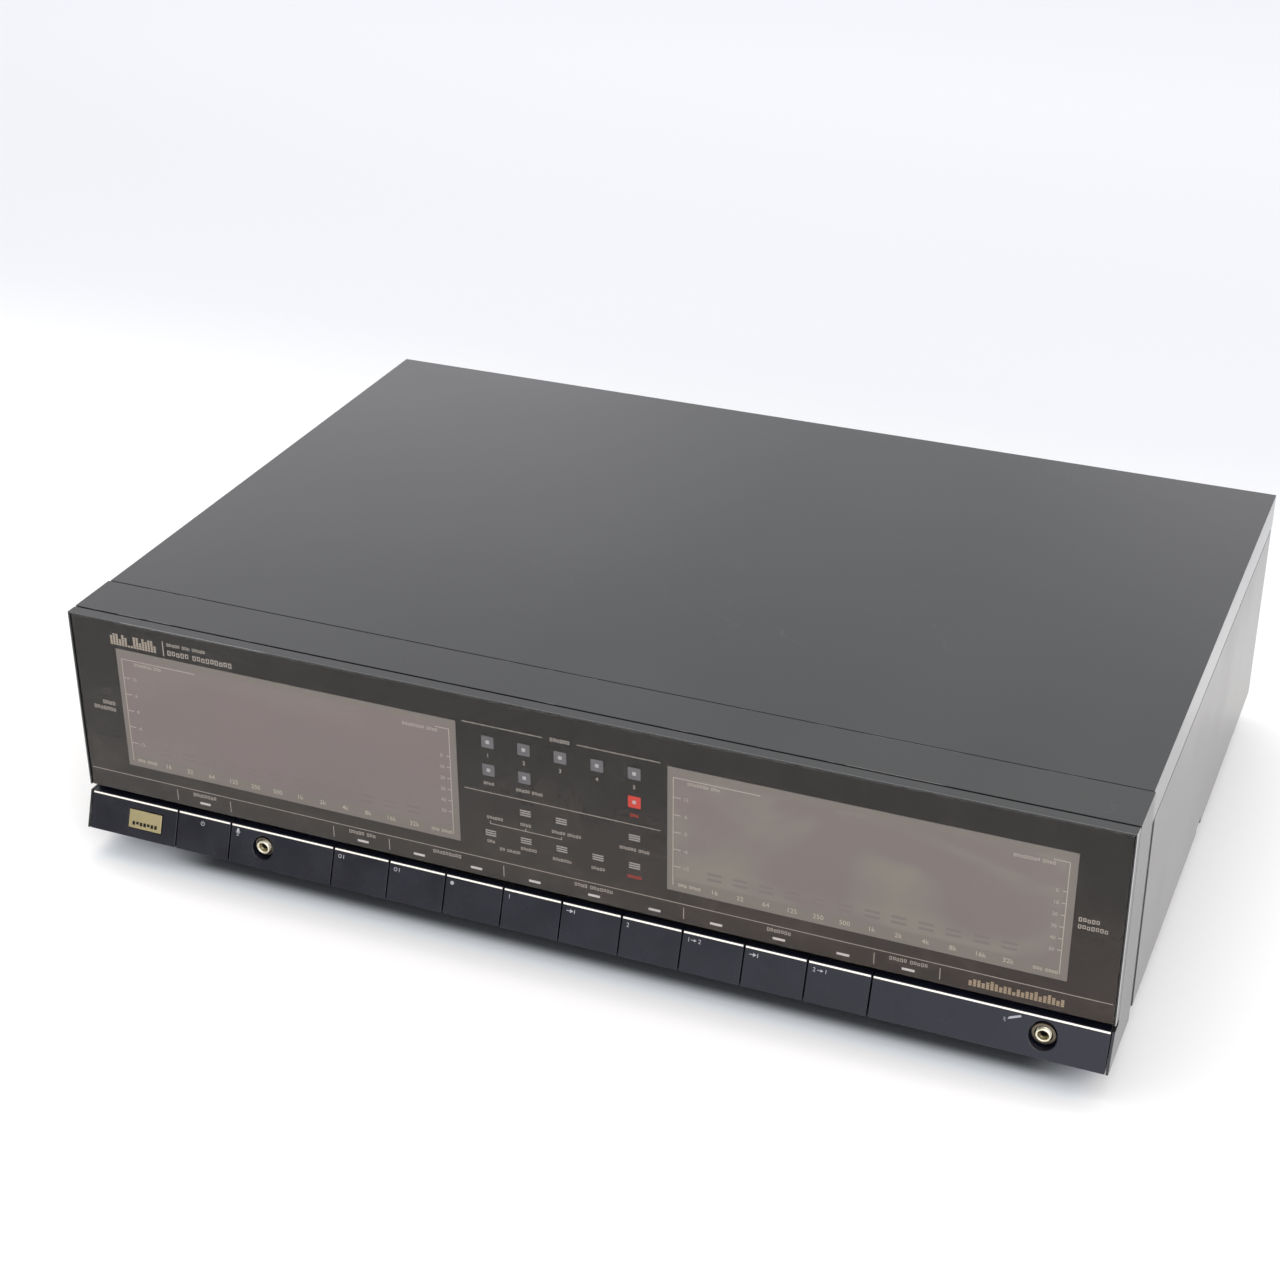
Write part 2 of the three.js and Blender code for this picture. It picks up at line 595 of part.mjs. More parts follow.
function makePowerSupply() {
  const chips = [[-165, 70, 16, 14, 15], [-135, 140, 18, 10, 9], [-160, 150, 10, 10, 12]];
  piece('power_board', flatBoard(-205, -105, 60, 180, BOARD_LOW, chips), CIRCUIT_BOARD);

  const boardTop = BOARD_LOW + BOARD_THICKNESS;
  [[-185, 95], [-185, 125]].forEach(([x, y], i) => {
    const can = rodAlongZ(12.5, x, y, boardTop + GAP, boardTop + 36, 24);
    piece(`filter_capacitor_${i + 1}`, can, BLACK_PLASTIC);
  });

  const spine = block(-150, -115, 100, 103, boardTop + GAP, boardTop + 32);
  const fins = [0, 1, 2, 3, 4, 5].map((i) =>
    block(-150 + i * 6.6, -148 + i * 6.6, 102, 120, boardTop + GAP, boardTop + 32));
  piece('heatsink', carve([spine, ...fins]), finish(0x8a8c8e, 0.4, 0.8));
}

function makeTransformer() {
  const x = -150;
  const y0 = 212;
  const y1 = 240;
  const z0 = BOTTOM_TOP + GAP;
  const windowLow = z0 + 11;
  const windowHigh = windowLow + 33;
  const core = carve(
    [
      block(x - 33, x + 33, y0, y1, z0, z0 + 55),
      block(x - 41, x + 41, y0 + 4, y1 - 4, z0, z0 + 2),
    ],
    [
      block(x - 22, x - 11, y0 - 1, y1 + 1, windowLow, windowHigh),
      block(x + 11, x + 22, y0 - 1, y1 + 1, windowLow, windowHigh),
    ]);
  piece('transformer_core', core, finish(0x6a6d70, 0.45, 0.7));

  const winding = carve(
    [block(x - 21.5, x + 21.5, y0 - 10, y1 + 10, windowLow + GAP, windowHigh - GAP)],
    [block(x - 11.4, x + 11.4, y0 - 0.4, y1 + 0.4, windowLow - 1, windowHigh + 1)]);
  piece('transformer_winding', winding, finish(0xc8a04a, 0.6, 0));
}

// Flat cable from the control board, through the bracket slot, to the display board.
function makeRibbonCable() {
  const start = DISPLAY_BOARD_FRONT + BOARD_THICKNESS + GAP;
  const path = [[start, 36.2], [40, 36.2], [45.2, 41.4], [45.2, 53.4], [49.2, 56.4],
    [58, 56.4], [58, 55.8], [49.4, 55.8], [45.8, 53.1], [45.8, 41.1], [40.3, 35.6],
    [start, 35.6]];
  piece('ribbon_cable', barAlongX(path, -11, 11), finish(0x8e9092, 0.7, 0));
}

makeFaceFrame();
makeBezel();
makeDisplays();
makePenTargets();
makeIndicators();
makeKeys();
makeFixedBlocks();
makeKeySwitches();
makeFrontBracket();
makeTopCover();
makeSidePanel('side_panel_left', -1);
makeSidePanel('side_panel_right', 1);
makeBottomPlate();
makeRearPanel();
makeRearJacks();
makeCordGland();
makeCoverScrews();
makeFeet();
makeMainBoard();
makeControlBoard();
makePowerSupply();
makeTransformer();
makeRibbonCable();

const equalizer = new THREE.Group();
equalizer.add(unit);

export default equalizer;
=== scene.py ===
"""Looks of a full-width graphic equalizer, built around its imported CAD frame.

Shapes are worked out in millimetres in the unit's own frame: X across, Y back from the face
plane and Z up from the underside of the casing. Shape.place() turns them into the row frame.
"""

import json
import math
import random

import bmesh
import bpy
from mathutils import Matrix, Vector

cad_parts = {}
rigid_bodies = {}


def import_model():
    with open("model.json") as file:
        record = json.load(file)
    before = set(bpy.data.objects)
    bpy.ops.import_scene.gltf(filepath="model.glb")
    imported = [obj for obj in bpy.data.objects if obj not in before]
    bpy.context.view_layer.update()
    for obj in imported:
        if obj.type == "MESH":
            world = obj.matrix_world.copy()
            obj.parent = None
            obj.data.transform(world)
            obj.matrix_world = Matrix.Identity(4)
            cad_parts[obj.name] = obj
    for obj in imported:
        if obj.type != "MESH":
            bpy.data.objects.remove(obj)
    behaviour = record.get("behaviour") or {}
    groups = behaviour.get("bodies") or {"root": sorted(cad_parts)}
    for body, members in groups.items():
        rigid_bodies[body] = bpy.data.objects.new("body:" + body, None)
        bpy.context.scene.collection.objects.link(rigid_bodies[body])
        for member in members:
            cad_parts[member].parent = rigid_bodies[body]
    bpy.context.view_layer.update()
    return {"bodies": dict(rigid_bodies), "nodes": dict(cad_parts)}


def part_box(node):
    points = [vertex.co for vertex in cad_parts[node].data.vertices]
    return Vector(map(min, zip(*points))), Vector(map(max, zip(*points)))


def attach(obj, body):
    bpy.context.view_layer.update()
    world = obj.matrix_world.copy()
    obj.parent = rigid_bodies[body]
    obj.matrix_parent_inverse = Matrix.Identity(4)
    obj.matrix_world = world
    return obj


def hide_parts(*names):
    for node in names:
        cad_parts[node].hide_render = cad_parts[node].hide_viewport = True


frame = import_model()
NODES = frame["nodes"]

MM = 0.001
ORIGIN = Vector((0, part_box("face_panel")[0].y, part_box("front_bezel")[0].z))
FLOOR_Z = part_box("foot_front_left")[0].z


def unit_box(node):
    """Lowest and highest corner of a CAD node, in the unit's millimetres."""
    low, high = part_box(node)
    return (low - ORIGIN) / MM, (high - ORIGIN) / MM


def middle(node):
    """Centre of a CAD node, in the unit's millimetres."""
    return [(low + high) / 2 for low, high in zip(*unit_box(node))]


# ---------------------------------------------------------------- driving dimensions

PANEL_LOW, PANEL_HIGH = unit_box("face_panel")
HALF_WIDTH = unit_box("front_bezel")[1].x

# Layers of the face, counted back from its front
PANEL_DEPTH = 0.6
INK_DEPTH = PANEL_DEPTH + 0.02
MASK_DEPTH = INK_DEPTH + 0.04
MASK_THICKNESS = 0.15

# Display windows, which the CAD tubes overlap all round
DISPLAY_OVERLAP = 4
DISPLAY_LOW, DISPLAY_HIGH = unit_box("display_right")
WINDOW_INNER = DISPLAY_LOW.x + DISPLAY_OVERLAP
WINDOW_OUTER = DISPLAY_HIGH.x - DISPLAY_OVERLAP
WINDOW_RISE = 0.5
WINDOW_BOTTOM = DISPLAY_LOW.z + DISPLAY_OVERLAP + WINDOW_RISE
WINDOW_TOP = DISPLAY_HIGH.z - DISPLAY_OVERLAP + WINDOW_RISE

# Light-pen targets and lamps
TARGET_PITCH = 15
SQUARE = 5.2
BAR_HEIGHT = 3
SQUARE_ROWS = (79.6, 67.2)
BAR_ROWS = (51.4, 38.8)
SQUARE_COLUMNS = ((0, 1, 2, 3, 4), (0, 1, 4))
BAR_COLUMNS = ((1, 2, 4), (0, 1, 2, 3, 4))
LAMP_Z = 20.8
LAMP_SIZE = (5.0, 1.1)
RULE_Z = 26.4

# Key row
KEYS = sorted((body for body in frame["bodies"] if body.startswith("key_")),
              key=lambda body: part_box(body)[0].x)
POWER_KEY = KEYS[0]
KEY_TOP = unit_box(POWER_KEY)[1].z
KEY_LEAN = -unit_box(POWER_KEY)[0].y
KEY_SLOPE = math.atan2(KEY_LEAN, KEY_TOP)
KEY_FACE = math.hypot(KEY_LEAN, KEY_TOP)
KEY_REAR = 3.0
BLOCK_REAR = unit_box("mic_panel")[1].y
KEY_PITCH = 25
JACK_Z = 8.2
LEGEND_S = 12.3
LEGEND_HEIGHT = 1.7
MARK_THICKNESS = 0.12
MARK_PROUD = 0.03
TRIM_HEIGHT = 0.72
TRIM_DROP = 0.27
TRIM_END = 0.25
LAMP_X = [unit_box(POWER_KEY)[0].x + 12.6]
LAMP_X += [-86.9 + KEY_PITCH * i for i in range(10)]


# ---------------------------------------------------------------- shapes

class Shape:
    """Points and faces in the unit's millimetres."""

    def __init__(self, points=(), faces=()):
        self.points = [Vector(p) for p in points]
        self.faces = [tuple(f) for f in faces]

    def add(self, *others):
        for other in others:
            start = len(self.points)
            self.points += other.points
            self.faces += [tuple(i + start for i in face) for face in other.faces]
        return self

    def turned(self, matrix):
        return Shape([matrix @ p for p in self.points], self.faces)

    def moved(self, x=0, y=0, z=0):
        return self.turned(Matrix.Translation((x, y, z)))

    def mesh(self, name, scale=1.0, origin=Vector(), flatten=False):
        """A mesh with its doubled points merged and its faces turned outwards."""
        data = bpy.data.meshes.new(name)
        data.from_pydata([origin + p * scale for p in self.points], [], self.faces)
        work = bmesh.new()
        work.from_mesh(data)
        bmesh.ops.remove_doubles(work, verts=work.verts, dist=0.001 * scale)
        if flatten:
            bmesh.ops.dissolve_limit(work, angle_limit=math.radians(1), verts=work.verts,
                                     edges=work.edges)
        bmesh.ops.recalc_face_normals(work, faces=work.faces)
        work.to_mesh(data)
        work.free()
        return data

    def place(self, name, look, body="chassis", slot=None, replaces=(), bevel=0.0,
              segments=3, crease=35, flatten=False):
        """Makes the shape an object of the model that rides on a body."""
        data = self.mesh(name, MM, ORIGIN, flatten)
        data.materials.append(look)
        data.shade_smooth()
        piece = bpy.data.objects.new(name, data)
        bpy.context.scene.collection.objects.link(piece)
        if bevel:
            round_edges(piece, bevel, segments)
        else:
            data.set_sharp_from_angle(angle=math.radians(crease))
        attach(piece, body)
        if replaces:
            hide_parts(*replaces)
        return piece


def round_edges(piece, width, segments):
    """Rounds the edges of a piece that turn by more than 30 degrees."""
    bevel = piece.modifiers.new("rounded edges", "BEVEL")
    bevel.width = width * MM
    bevel.segments = segments
    bevel.limit_method = "ANGLE"
    bevel.angle_limit = math.radians(30)
    bevel.harden_normals = True
    bevel.miter_outer = "MITER_SHARP"
    bevel.use_clamp_overlap = True


def from_cad(node):
    """The shape of a CAD node."""
    piece = NODES[node]
    points = [(piece.matrix_world @ v.co - ORIGIN) / MM for v in piece.data.vertices]
    return Shape(points, [tuple(p.vertices) for p in piece.data.polygons])


def block(x0, x1, y0, y1, z0, z1):
    points = [(x, y, z) for x in (x0, x1) for y in (y0, y1) for z in (z0, z1)]
    faces = [(0, 1, 3, 2), (4, 6, 7, 5), (0, 4, 5, 1), (2, 3, 7, 6), (0, 2, 6, 4), (1, 5, 7, 3)]
    return Shape(points, faces)


def bar(section, axis, start, end):
    """A straight bar. The section's points are (u, v), which stand for the two axes other
    than axis, in X, Y, Z order."""
    def spot(u, v, w):
        along = {"X": (w, u, v), "Y": (u, w, v), "Z": (u, v, w)}
        return along[axis]
    count = len(section)
    points = [spot(u, v, start) for u, v in section] + [spot(u, v, end) for u, v in section]
    faces = [tuple(range(count)), tuple(range(2 * count - 1, count - 1, -1))]
    faces += [(i, i + count, (i + 1) % count + count, (i + 1) % count) for i in range(count)]
    return Shape(points, faces)


def turned(profile, axis, x, y, z, sides=48):
    """A turned piece about an axis through (x, y, z). The profile's points are (radius,
    distance along the axis) and close on themselves."""
    rings = []
    points = []
    for radius, along in profile:
        if radius == 0:
            rings.append([len(points)] * sides)
            points.append((0, 0, along))
        else:
            rings.append(range(len(points), len(points) + sides))
            points += [(radius * math.cos(2 * math.pi * i / sides),
                        radius * math.sin(2 * math.pi * i / sides), along) for i in range(sides)]
    faces = []
    for a, b in zip(rings, rings[1:] + rings[:1]):
        for i in range(sides):
            j = (i + 1) % sides
            corners = (a[i], a[j], b[j], b[i])
            face = tuple(dict.fromkeys(corners))
            if len(face) > 2:
                faces.append(face)
    shape = Shape(points, faces)
    if axis == "Y":
        shape = shape.turned(Matrix.Rotation(-math.pi / 2, 4, "X"))
    return shape.moved(x, y, z)


def carved(shape, *tools, join=()):
    """The shape joined with some solids and then cut by others."""
    def temporary(part):
        item = bpy.data.objects.new("temporary", part.mesh("temporary"))
        bpy.context.scene.collection.objects.link(item)
        return item
    base = temporary(shape)
    others = []
    for operation, parts in (("UNION", join), ("DIFFERENCE", tools)):
        for part in parts:
            other = temporary(part)
            others.append(other)
            cut = base.modifiers.new("cut", "BOOLEAN")
            cut.operation = operation
            cut.solver = "EXACT"
            cut.object = other
    graph = bpy.context.evaluated_depsgraph_get()
    data = bpy.data.meshes.new_from_object(base.evaluated_get(graph))
    result = Shape([v.co.copy() for v in data.vertices], [tuple(p.vertices) for p in data.polygons])
    for item in [base, *others]:
        old = item.data
        bpy.data.objects.remove(item)
        bpy.data.meshes.remove(old)
    bpy.data.meshes.remove(data)
    return result


def arc(cx, cy, radius, start, end, steps):
    """Points on an arc, with its angles in degrees."""
    angles = [math.radians(start + (end - start) * i / steps) for i in range(steps + 1)]
    return [(cx + radius * math.cos(a), cy + radius * math.sin(a)) for a in angles]


def rounded(x0, x1, z0, z1, radius, steps=4):
    """Outline of a rectangle with rounded corners."""
    return (arc(x1 - radius, z1 - radius, radius, 0, 90, steps)
            + arc(x0 + radius, z1 - radius, radius, 90, 180, steps)
            + arc(x0 + radius, z0 + radius, radius, 180, 270, steps)
            + arc(x1 - radius, z0 + radius, radius, 270, 360, steps))


def plate_with_windows(x0, x1, y0, y1, z0, z1, windows):
    """A flat plate across Y with rectangular windows (x0, x1, z0, z1) through it."""
    xs = sorted({x0, x1, *(w[0] for w in windows), *(w[1] for w in windows)})
    zs = sorted({z0, z1, *(w[2] for w in windows), *(w[3] for w in windows)})

    def is_solid(i, k):
        if not (0 <= i < len(xs) - 1 and 0 <= k < len(zs) - 1):
            return False
        x = (xs[i] + xs[i + 1]) / 2
        z = (zs[k] + zs[k + 1]) / 2
        return not any(w[0] < x < w[1] and w[2] < z < w[3] for w in windows)

    count = len(zs)
    points = [(x, y, z) for y in (y0, y1) for x in xs for z in zs]
    back = len(xs) * count
    faces = []
    for i in range(len(xs) - 1):
        for k in range(count - 1):
            if not is_solid(i, k):
                continue
            a, b, c, d = (i * count + k, (i + 1) * count + k, (i + 1) * count + k + 1,
                          i * count + k + 1)
            faces.append((a, b, c, d))
            faces.append((d + back, c + back, b + back, a + back))
            for p, q, beside in ((a, b, (i, k - 1)), (b, c, (i + 1, k)), (c, d, (i, k + 1)),
                                 (d, a, (i - 1, k))):
                if not is_solid(*beside):
                    faces.append((q, p, p + back, q + back))
    used = sorted({i for face in faces for i in face})
    index = {old: new for new, old in enumerate(used)}
    return Shape([points[i] for i in used], [tuple(index[i] for i in face) for face in faces])


def lettering(text, height, x, z, align="CENTER", thickness=0.04):
    """Figures in the XZ plane that face the front, half their thickness each side of it."""
    curve = bpy.data.curves.new("figures", "FONT")
    curve.body = text
    curve.size = height / 0.7
    curve.align_x = align
    curve.resolution_u = 3
    curve.extrude = thickness / 2
    carrier = bpy.data.objects.new("figures", curve)
    data = bpy.data.meshes.new_from_object(carrier)
    shape = Shape([(v.co.x, -v.co.z, v.co.y) for v in data.vertices],
                  [tuple(p.vertices) for p in data.polygons])
    bpy.data.objects.remove(carrier)
    bpy.data.curves.remove(curve)
    bpy.data.meshes.remove(data)
    return shape.moved(x, 0, z)


def on_key_face(shape, proud):
    """Moves a shape drawn in the plane Y = 0, with Z up the slope, onto the leaning faces."""
    lean = Matrix.Translation((0, -KEY_LEAN, 0)) @ Matrix.Rotation(-KEY_SLOPE, 4, "X")
    return shape.moved(y=-proud).turned(lean)


# ---------------------------------------------------------------- materials

class Look:
    """A procedural material or studio, built up by short calls. Scales are per metre."""

    def __init__(self, name, studio=False):
        self.owner = (bpy.data.worlds if studio else bpy.data.materials).new(name)
        self.owner.use_nodes = True
        self.tree = self.owner.node_tree
        self.tree.nodes.clear()
        self.place = self.put("TexCoord").outputs["Generated" if studio else "Object"]

    def put(self, kind, inputs=None, **settings):
        """Adds a shader node. Inputs are values or links, and settings are its properties."""
        node = self.tree.nodes.new("ShaderNode" + kind)
        for key, value in settings.items():
            setattr(node, key, value)
        for key, value in (inputs or {}).items():
            if isinstance(value, bpy.types.NodeSocket):
                self.tree.links.new(value, node.inputs[key])
            else:
                node.inputs[key].default_value = value
        return node

    def stretch(self, factors, shift=(0, 0, 0)):
        inputs = {"Vector": self.place, "Scale": factors, "Location": shift}
        return self.put("Mapping", inputs).outputs[0]

    def noise(self, scale, detail=3.0, roughness=0.5, factors=(1, 1, 1), shift=(0, 0, 0),
              distortion=0.0):
        node = self.put("TexNoise", {
            "Vector": self.stretch(factors, shift), "Scale": scale, "Detail": detail,
            "Roughness": roughness, "Distortion": distortion})
        return node.outputs["Fac"]

    def math(self, operation, a, b=0.0):
        node = self.put("Math", {0: a, 1: b}, operation=operation)
        return node.outputs[0]

    def times(self, a, b):
        return self.math("MULTIPLY", a, b)

    def band(self, value, low, high, to_low=0.0, to_high=1.0):
        """The value's way from low to high, eased and turned into to_low to to_high."""
        node = self.put("MapRange", {
            "Value": value, "From Min": low, "From Max": high, "To Min": to_low,
            "To Max": to_high}, interpolation_type="SMOOTHSTEP")
        return node.outputs[0]

    def mix(self, amount, a, b):
        node = self.put("MixRGB", {"Fac": amount, "Color1": a, "Color2": b})
        return node.outputs[0]

    def over(self, base, cover, mask, strength):
        """The base colour under a cover, as strong as the mask times the strength."""
        return self.mix(self.times(mask, strength), base, cover)

    def axis(self, letter):
        return self.put("SeparateXYZ", {0: self.place}).outputs[letter]

    def between(self, value, low, high, soft):
        """1 from low to high, fading out over soft on both sides."""
        rise = self.band(value, low - soft, low)
        return self.times(rise, self.band(value, high + soft, high))

    def specks(self, scale, share, size):
        """Scattered round specks: share of the cells hold one."""
        node = self.put("TexVoronoi", {"Vector": self.stretch((1, 1, 1)), "Scale": scale})
        dot = self.band(node.outputs["Distance"], size, size * 0.4)
        chance = self.put("SeparateColor", {0: node.outputs["Color"]}).outputs[0]
        return self.times(dot, self.math("GREATER_THAN", chance, 1 - share))

    def scratches(self, scale, factors, width, shift, cover):
        """Hair scratches: the thin middle line of a stretched noise, in patches."""
        line = self.noise(scale, 1.0, 0.4, factors, shift, 0.3)
        near = self.math("ABSOLUTE", self.math("SUBTRACT", line, 0.5))
        patch = self.band(self.noise(scale * 0.35, 2.0, 0.5, (1, 1, 1), shift), cover, cover + 0.05)
        return self.times(self.band(near, width, 0.0), patch)

    def rounded_normal(self, radius):
        return self.put("Bevel", {"Radius": radius * MM}, samples=4).outputs[0]

    def edges(self, radius):
        """1 along worn edges, found where a rounded normal leaves the true one."""
        true = self.put("NewGeometry").outputs["Normal"]
        dot = self.put("VectorMath", {0: self.rounded_normal(radius), 1: true},
                       operation="DOT_PRODUCT")
        return self.band(self.math("SUBTRACT", 1.0, dot.outputs["Value"]), 0.02, 0.22)

    def arris(self, radius):
        """1 along the rounded edges of an upright box shape."""
        parts = self.put("SeparateXYZ", {0: self.rounded_normal(radius)}).outputs
        x, y, z = (self.math("ABSOLUTE", parts[letter]) for letter in "XYZ")
        largest = self.math("MAXIMUM", self.math("MAXIMUM", x, y), z)
        return self.band(self.math("SUBTRACT", 1.0, largest), 0.03, 0.14)

    def bump(self, height, depth):
        return self.put("Bump", {
            "Height": height, "Distance": depth * MM, "Strength": 1.0}).outputs[0]

    def finish(self, shader):
        self.put("OutputMaterial", {"Surface": shader})
        return self.owner

    def surface(self, color, roughness, height, depth, **others):
        """The finished material, with a relief of some height pattern and depth."""
        inputs = {key.replace("_", " "): value for key, value in others.items()}
        inputs.update({"Base Color": color, "Roughness": roughness,
                       "Normal": self.bump(height, depth)})
        return self.finish(self.put("BsdfPrincipled", inputs).outputs[0])

    def bonded(self, color, grain):
        """The finished material of a film or ink bonded to the back of the smoked sheet. The
        sheet's smoke dims it and the sheet's polish is its coat."""
        smoked = self.put("MixRGB", {"Fac": 1.0, "Color1": color,
                                     "Color2": (0.69, 0.645, 0.605, 1)},
                          blend_type="MULTIPLY").outputs[0]
        coat = {"Specular_IOR_Level": 0.0, "Coat_Weight": 0.76, "Coat_Roughness": 0.06,
                "Coat_IOR": 1.49}
        return self.surface(smoked, 0.6, grain, 0.003, **coat)


def grey(value, tint=(1, 1, 1)):
    return (value * tint[0], value * tint[1], value * tint[2], 1)


def satin_paint(name, tone=0.019, rough=0.22, sheen=0.0, wear=0.6, worn_x=(), chipped=1.0,
                tint=(1, 1, 1, 1), worn_and_highlit_rims=()):
    """Black satin paint over steel or plastic: fine grain, a little dust, few hair scratches
    and rubbed edges, with more wear between the pairs of places along X in worn_x. Each rim is a
    stretch of the outer edges along X and how strongly a pale painted highlight, partly also rubbed
    wear, is laid on there."""
    look = Look(name)
    cloud = look.noise(7, 3, 0.5)
    fine = look.noise(1700, 2, 0.6)
    dust = look.specks(330, 0.012, 0.09)
    hair = look.scratches(16, (1.0, 3.0, 1.0), 0.0035, (0.35, 0.1, 0), 0.62)
    edge = look.edges(0.5)
    chips = look.band(look.noise(70, 4, 0.7), 0.55, 0.70, 0, chipped)
    for start, end in worn_x:
        spot = look.between(look.axis("X"), start * MM, end * MM, 0.0015)
        chips = look.math("MAXIMUM", chips, spot)
    chips = look.times(edge, chips)
    base = look.mix(look.band(cloud, 0.35, 0.7), grey(tone * 0.88, (0.98, 1, 1.02)),
                    grey(tone * 1.14, (0.98, 1, 1.03)))
    base = look.over(base, grey(0.30, (1, 0.97, 0.92)), dust, 0.3)
    base = look.over(base, grey(0.16), hair, 0.10)
    base = look.over(base, grey(0.36, (1, 0.98, 0.95)), chips, wear)
    # Rims make the rounded outer edges pale: a painted highlight, in places also rubbed wear.
    for start, end, strength in worn_and_highlit_rims:
        spot = look.between(look.axis("X"), start * MM, end * MM, 0.0002)
        rubbed = look.times(look.arris(0.45), spot)
        base = look.over(base, grey(0.62, (1, 0.98, 0.95)), rubbed, strength)
    level = look.band(look.noise(12, 4, 0.5, (1, 1, 1), (0.2, 0, 0)), 0.3, 0.75, rough - 0.015,
                      rough + 0.025)
    return look.surface(base, level, fine, 0.004, IOR=1.5, Sheen_Weight=sheen,
                        Sheen_Roughness=0.3, Sheen_Tint=tint)


def moulded_plastic(name, color, rough=0.42, grain=2400, depth=0.012, wear=0.3, dusty=0.15):
    """Injection-moulded plastic with a fine spark texture, dust in its pores, rubbed edges."""
    look = Look(name)
    fine = look.noise(grain, 3, 0.65)
    cloud = look.noise(30, 4, 0.6)
    base = look.mix(look.band(cloud, 0.3, 0.75), grey(0.82, color), grey(1.16, color))
    lint = look.specks(700, 0.06, 0.12)
    base = look.over(base, grey(0.42, (1, 0.96, 0.9)), lint, dusty)
    worn = look.times(look.edges(0.35), look.band(cloud, 0.4, 0.65))
    pale = grey(1.0, [min(1, 0.16 + 1.2 * c) for c in color])
    base = look.over(base, pale, worn, wear)
    level = look.band(look.noise(60, 3, 0.5), 0.3, 0.7, rough - 0.05, rough + 0.06)
    return look.surface(base, level, fine, depth, IOR=1.49)


def worked_metal(name, color, rough=0.3, factors=(1, 1, 60), grain=900, depth=0.006, stain=0.5):
    """Bare or plated metal with a brushed or drawn grain, tarnish and fine pits."""
    look = Look(name)
    hair = look.noise(grain, 2, 0.6, factors)
    cloud = look.noise(45, 5, 0.6)
    dull = grey(0.45, color)
    base = look.mix(look.band(cloud, 0.45, 0.8, 0.0, stain), grey(1.0, color), dull)
    base = look.mix(look.band(hair, 0.3, 0.7, 0.0, 0.25), base, dull)
    level = look.math("ADD", look.band(hair, 0.3, 0.7, -0.05, 0.07),
                      look.band(cloud, 0.4, 0.8, rough, rough + 0.14))
    return look.surface(base, level, hair, depth, Metallic=1.0)


def smoked_acrylic():
    """Clear sheet with lint and wiped hair scratches. The layers bonded to its back carry the
    smoke and the gloss of its front, and its own edges are polished."""
    look = Look("smoked_acrylic")
    lint = look.specks(460, 0.03, 0.06)
    hair = look.scratches(26, (1.6, 1, 1), 0.003, (0.5, 0, 0.3), 0.6)
    wipe = look.band(look.noise(34, 3, 0.5, (0.6, 1, 1.6)), 0.4, 0.7, 0.06, 0.14)
    clear = look.put("BsdfTransparent", {"Color": (0.985, 0.98, 0.97, 1)}).outputs[0]
    gloss = look.put("BsdfGlossy", {"Color": (0.8, 0.8, 0.8, 1), "Roughness": wipe})
    geometry = look.put("NewGeometry").outputs
    across = look.put("SeparateXYZ", {0: geometry["Normal"]}).outputs["Y"]
    edge = look.band(look.math("ABSOLUTE", across), 0.97, 0.6, 0.0, 0.5)
    outside = look.math("SUBTRACT", 1.0, geometry["Backfacing"])
    haze = look.math("ADD", look.times(lint, 0.22), look.times(hair, 0.07))
    haze = look.times(haze, outside)
    sheet = look.put("MixShader", {0: look.times(edge, outside), 1: clear,
                                   2: gloss.outputs[0]}).outputs[0]
    film = look.put("BsdfDiffuse", {"Color": (0.45, 0.43, 0.40, 1)}).outputs[0]
    return look.finish(look.put("MixShader", {0: haze, 1: sheet, 2: film}).outputs[0])


def printed_mask():
    """Black ink on the back of the sheet, under old dust that thickens towards the foot and
    turns brownish towards the right."""
    look = Look("printed_mask")
    cloud = look.noise(13, 3, 0.5, (1, 1, 1.2), (0.3, 0, 0.6), 0.5)
    blot = look.noise(42, 4, 0.6, (1, 1, 1.3), (0.8, 0, 0.2), 0.8)
    fine = look.noise(900, 2, 0.5)
    low = look.band(look.axis("Z"), 0.108, 0.025, 0.0, 0.55)
    dust = look.times(low, look.band(cloud, 0.3, 0.68, 0.6, 1.25))
    dust = look.math("ADD", dust, look.band(blot, 0.5, 0.76, 0.0, 0.26))
    brown = look.mix(look.band(look.axis("X"), -0.05, 0.16), (0.052, 0.049, 0.047, 1),
                     (0.064, 0.047, 0.042, 1))
    base = look.mix(dust, (0.0060, 0.0060, 0.0065, 1), brown)
    return look.bonded(base, fine)


def printing_ink(name, color, patchy=0.35, bonded=True):
    """Screen-printed ink, with pinholes and a slightly uneven film."""
    look = Look(name)
    grain = look.noise(2600, 2, 0.6)
    cloud = look.noise(120, 3, 0.5)
    base = look.mix(look.band(grain, 0.35, 0.75, 0, patchy), grey(1, color), grey(0.45, color))
    base = look.mix(look.band(cloud, 0.45, 0.8, 0, 0.3), base, grey(0.7, color))
    if bonded:
        return look.bonded(base, grain)
    return look.surface(base, 0.55, grain, 0.003)


